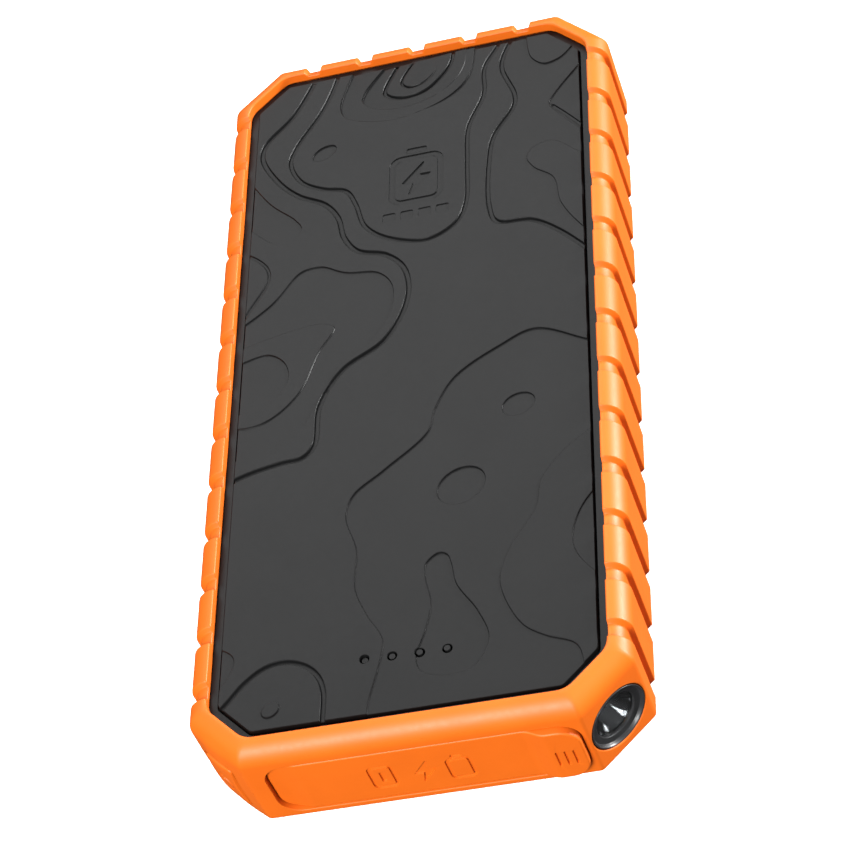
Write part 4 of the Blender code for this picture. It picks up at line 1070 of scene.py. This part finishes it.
def build_port(shell, insert, sizes, contacts, finish):
    """Drawn steel shell with a rounded mouth, its insert with a tongue, and the contacts on that."""
    radius, wall, base, (width, thickness, rise) = sizes
    low, high = span(shell)
    tip = span(insert)[0].y
    root = high.y - base

    def loop(inset, y):
        outline = rectangle(low.x + inset, high.x - inset, low.z + inset, high.z - inset)
        return lifted(rounded(outline, radius - inset, 6), -y)

    depth = high.y - low.y
    wall_profile = ((0.0, depth), (0.0, 0.15), (0.04, 0.04), (wall / 2, 0.0), (wall - 0.04, 0.04),
                    (wall, 0.2), (wall, depth))
    rings = [loop(inset, low.y + back) for inset, back in wall_profile]
    dress(skin(shell + "_drawn", rings, END_FRAME, True), "body", "steel", shell)

    x, z = (low.x + high.x) / 2, (low.z + high.z) / 2 + rise
    piece = skin(insert + "_moulded", [loop(wall + 0.1, high.y), loop(wall + 0.1, root)], END_FRAME)
    bar = rounded(centred(width, thickness, x, z), 0.15, 4)
    nose = rounded(centred(width - 0.4, thickness - 0.25, x, z), 0.1, 4)
    places = ((bar, root + 0.2), (bar, tip + 0.3), (nose, tip))
    rings = [lifted(outline, -y) for outline, y in places]
    boolean(piece, skin("tongue", rings, END_FRAME), "UNION")
    dress(piece, "body", finish, insert, sharp=34.0)

    strip_width, faces, places = contacts
    bm = bmesh.new()
    for face in faces:
        for place in places:
            strip = rounded(centred(strip_width, 0.12, x + place, z + face * thickness / 2), 0.04, 3)
            add_skin(bm, [lifted(strip, -root - 0.1), lifted(strip, -tip - 0.6)])
    strips = object_from(insert + "_contacts", bm, END_FRAME)
    dress(strips, "body", "contact_gold", insert, slot="steel")


# CAD nodes that stay ---------------------------------------------------------------------

NODES_OF = {
    "case_plastic": ("front_shell", "rear_shell"),
    "grey_silicone": ("shell_gasket", "cell_pad"),
    "port_plastic": ("port_frame", "charge_controller", "output_controller", "cell_switch", "switch_body"),
    "board_laminate": ("main_board", "protection_board"),
    "ferrite": ("inductor_1", "inductor_2"),
    "pouch_foil": ("cell_lower", "cell_upper", "capacitor_1", "capacitor_2", "torch_board"),
    "smoked_plastic": ("light_pipe",),
    "white_plastic": ("switch_plunger",),
    "red_insulation": ("torch_lead_red", "cell_lead_red"),
    "black_insulation": ("torch_lead_black", "cell_lead_black"),
    "phosphor": ("indicator_led_1", "indicator_led_2", "indicator_led_3", "indicator_led_4"),
}
NODE_FINISH = {node: finish for finish, nodes in NODES_OF.items() for node in nodes}

# Width of the fine bevel on a node's sharp edges, where it isn't the usual one
USUAL_EDGE = 0.12
FINE_EDGE = {
    "front_shell": 0.3, "rear_shell": 0.3, "port_frame": 0.2, "cell_lower": 1.2, "cell_upper": 1.2,
    "light_pipe": 0.15,
}


def refine_nodes():
    """Materials and fine edges for the CAD nodes whose shape is right."""
    for name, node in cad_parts.items():
        if node.hide_render:
            continue
        node.data.materials.clear()
        node.data.materials.append(FINISH[NODE_FINISH.get(name, "steel")])
        step = node.modifiers.new("Bevel", "BEVEL")
        step.width = FINE_EDGE.get(name, USUAL_EDGE) * MM
        step.segments = 2
        step.limit_method = "ANGLE"
        step.angle_limit = math.radians(40)
        step = node.modifiers.new("Normals", "WEIGHTED_NORMAL")
        step.keep_sharp = True


# Floor, light and camera -----------------------------------------------------------------

def build_stage():
    bm = bmesh.new()
    bmesh.ops.create_grid(bm, x_segments=1, y_segments=1, size=4000)
    floor = object_from("floor", bm, Matrix.Translation((0.0, 0.0, -0.05)))
    paper = Finish("paper", 0.9)
    paper.shades(12.0, (0.93, 0.93, 0.93), (0.95, 0.95, 0.95))
    paper.shader.inputs["Emission Color"].default_value = (1.0, 1.0, 1.0, 1.0)
    paper.shader.inputs["Emission Strength"].default_value = 0.4
    floor.data.materials.append(FINISH["paper"])
    floor.visible_diffuse = False
    floor.visible_glossy = False
    floor.visible_transmission = False


def area_light(name, place, size, power):
    """White light that faces the middle of the object."""
    data = bpy.data.lights.new(name, "AREA")
    data.shape = "RECTANGLE"
    data.size, data.size_y = size
    data.energy = power
    light = bpy.data.objects.new(name, data)
    light.location = place
    light.rotation_euler = (-Vector(place)).to_track_quat("-Z", "Y").to_euler()
    bpy.context.scene.collection.objects.link(light)


def build_light():
    world = bpy.data.worlds.new("studio")
    world.use_nodes = True
    tree = world.node_tree
    sky = tree.nodes["Background"]
    sky.inputs["Color"].default_value = (1.0, 1.0, 1.0, 1.0)
    direction = tree.nodes.new("ShaderNodeTexCoord").outputs["Generated"]
    split = tree.nodes.new("ShaderNodeSeparateXYZ")
    rise = tree.nodes.new("ShaderNodeMapRange")
    rise.inputs["From Min"].default_value = -0.1
    rise.inputs["To Min"].default_value = 0.08
    rise.inputs["To Max"].default_value = 0.75
    tree.links.new(direction, split.inputs["Vector"])
    tree.links.new(split.outputs["Z"], rise.inputs["Value"])
    tree.links.new(rise.outputs["Result"], sky.inputs["Strength"])
    bpy.context.scene.world = world
    area_light("rear", (-0.16, 0.62, 0.75), (0.9, 0.6), 6.0)
    area_light("right", (0.88, 0.40, 0.28), (0.40, 0.30), 28.0)
    area_light("front", (-0.20, -0.75, 0.62), (0.45, 0.35), 18.0)
    bpy.context.scene.view_settings.view_transform = "Standard"


def build_camera():
    data = bpy.data.cameras.new("camera")
    data.lens = 116.0
    data.sensor_width = 36.0
    camera = bpy.data.objects.new("camera", data)
    right = Vector((0.9601, 0.0111, -0.2796))
    up = Vector((0.1688, 0.7739, 0.6103))
    back = Vector((0.2231, -0.6332, 0.7412))
    turn = Matrix((right, up, back)).transposed().to_4x4()
    camera.matrix_world = Matrix.Translation((0.1223, -0.3558, 0.4163)) @ turn
    bpy.context.scene.collection.objects.link(camera)
    bpy.context.scene.camera = camera


build_camera()
build_stage()
build_light()
build_jacket()
build_front_panel()
build_rear_panel()
build_flap()
build_button()
build_torch()
build_port("usb_a_shell_left", "usb_a_core_left", USB_A, USB_A_CONTACTS, "white_plastic")
build_port("usb_a_shell_right", "usb_a_core_right", USB_A, USB_A_CONTACTS, "white_plastic")
build_port("usb_c_shell", "usb_c_core", USB_C, USB_C_CONTACTS, "port_plastic")
refine_nodes()
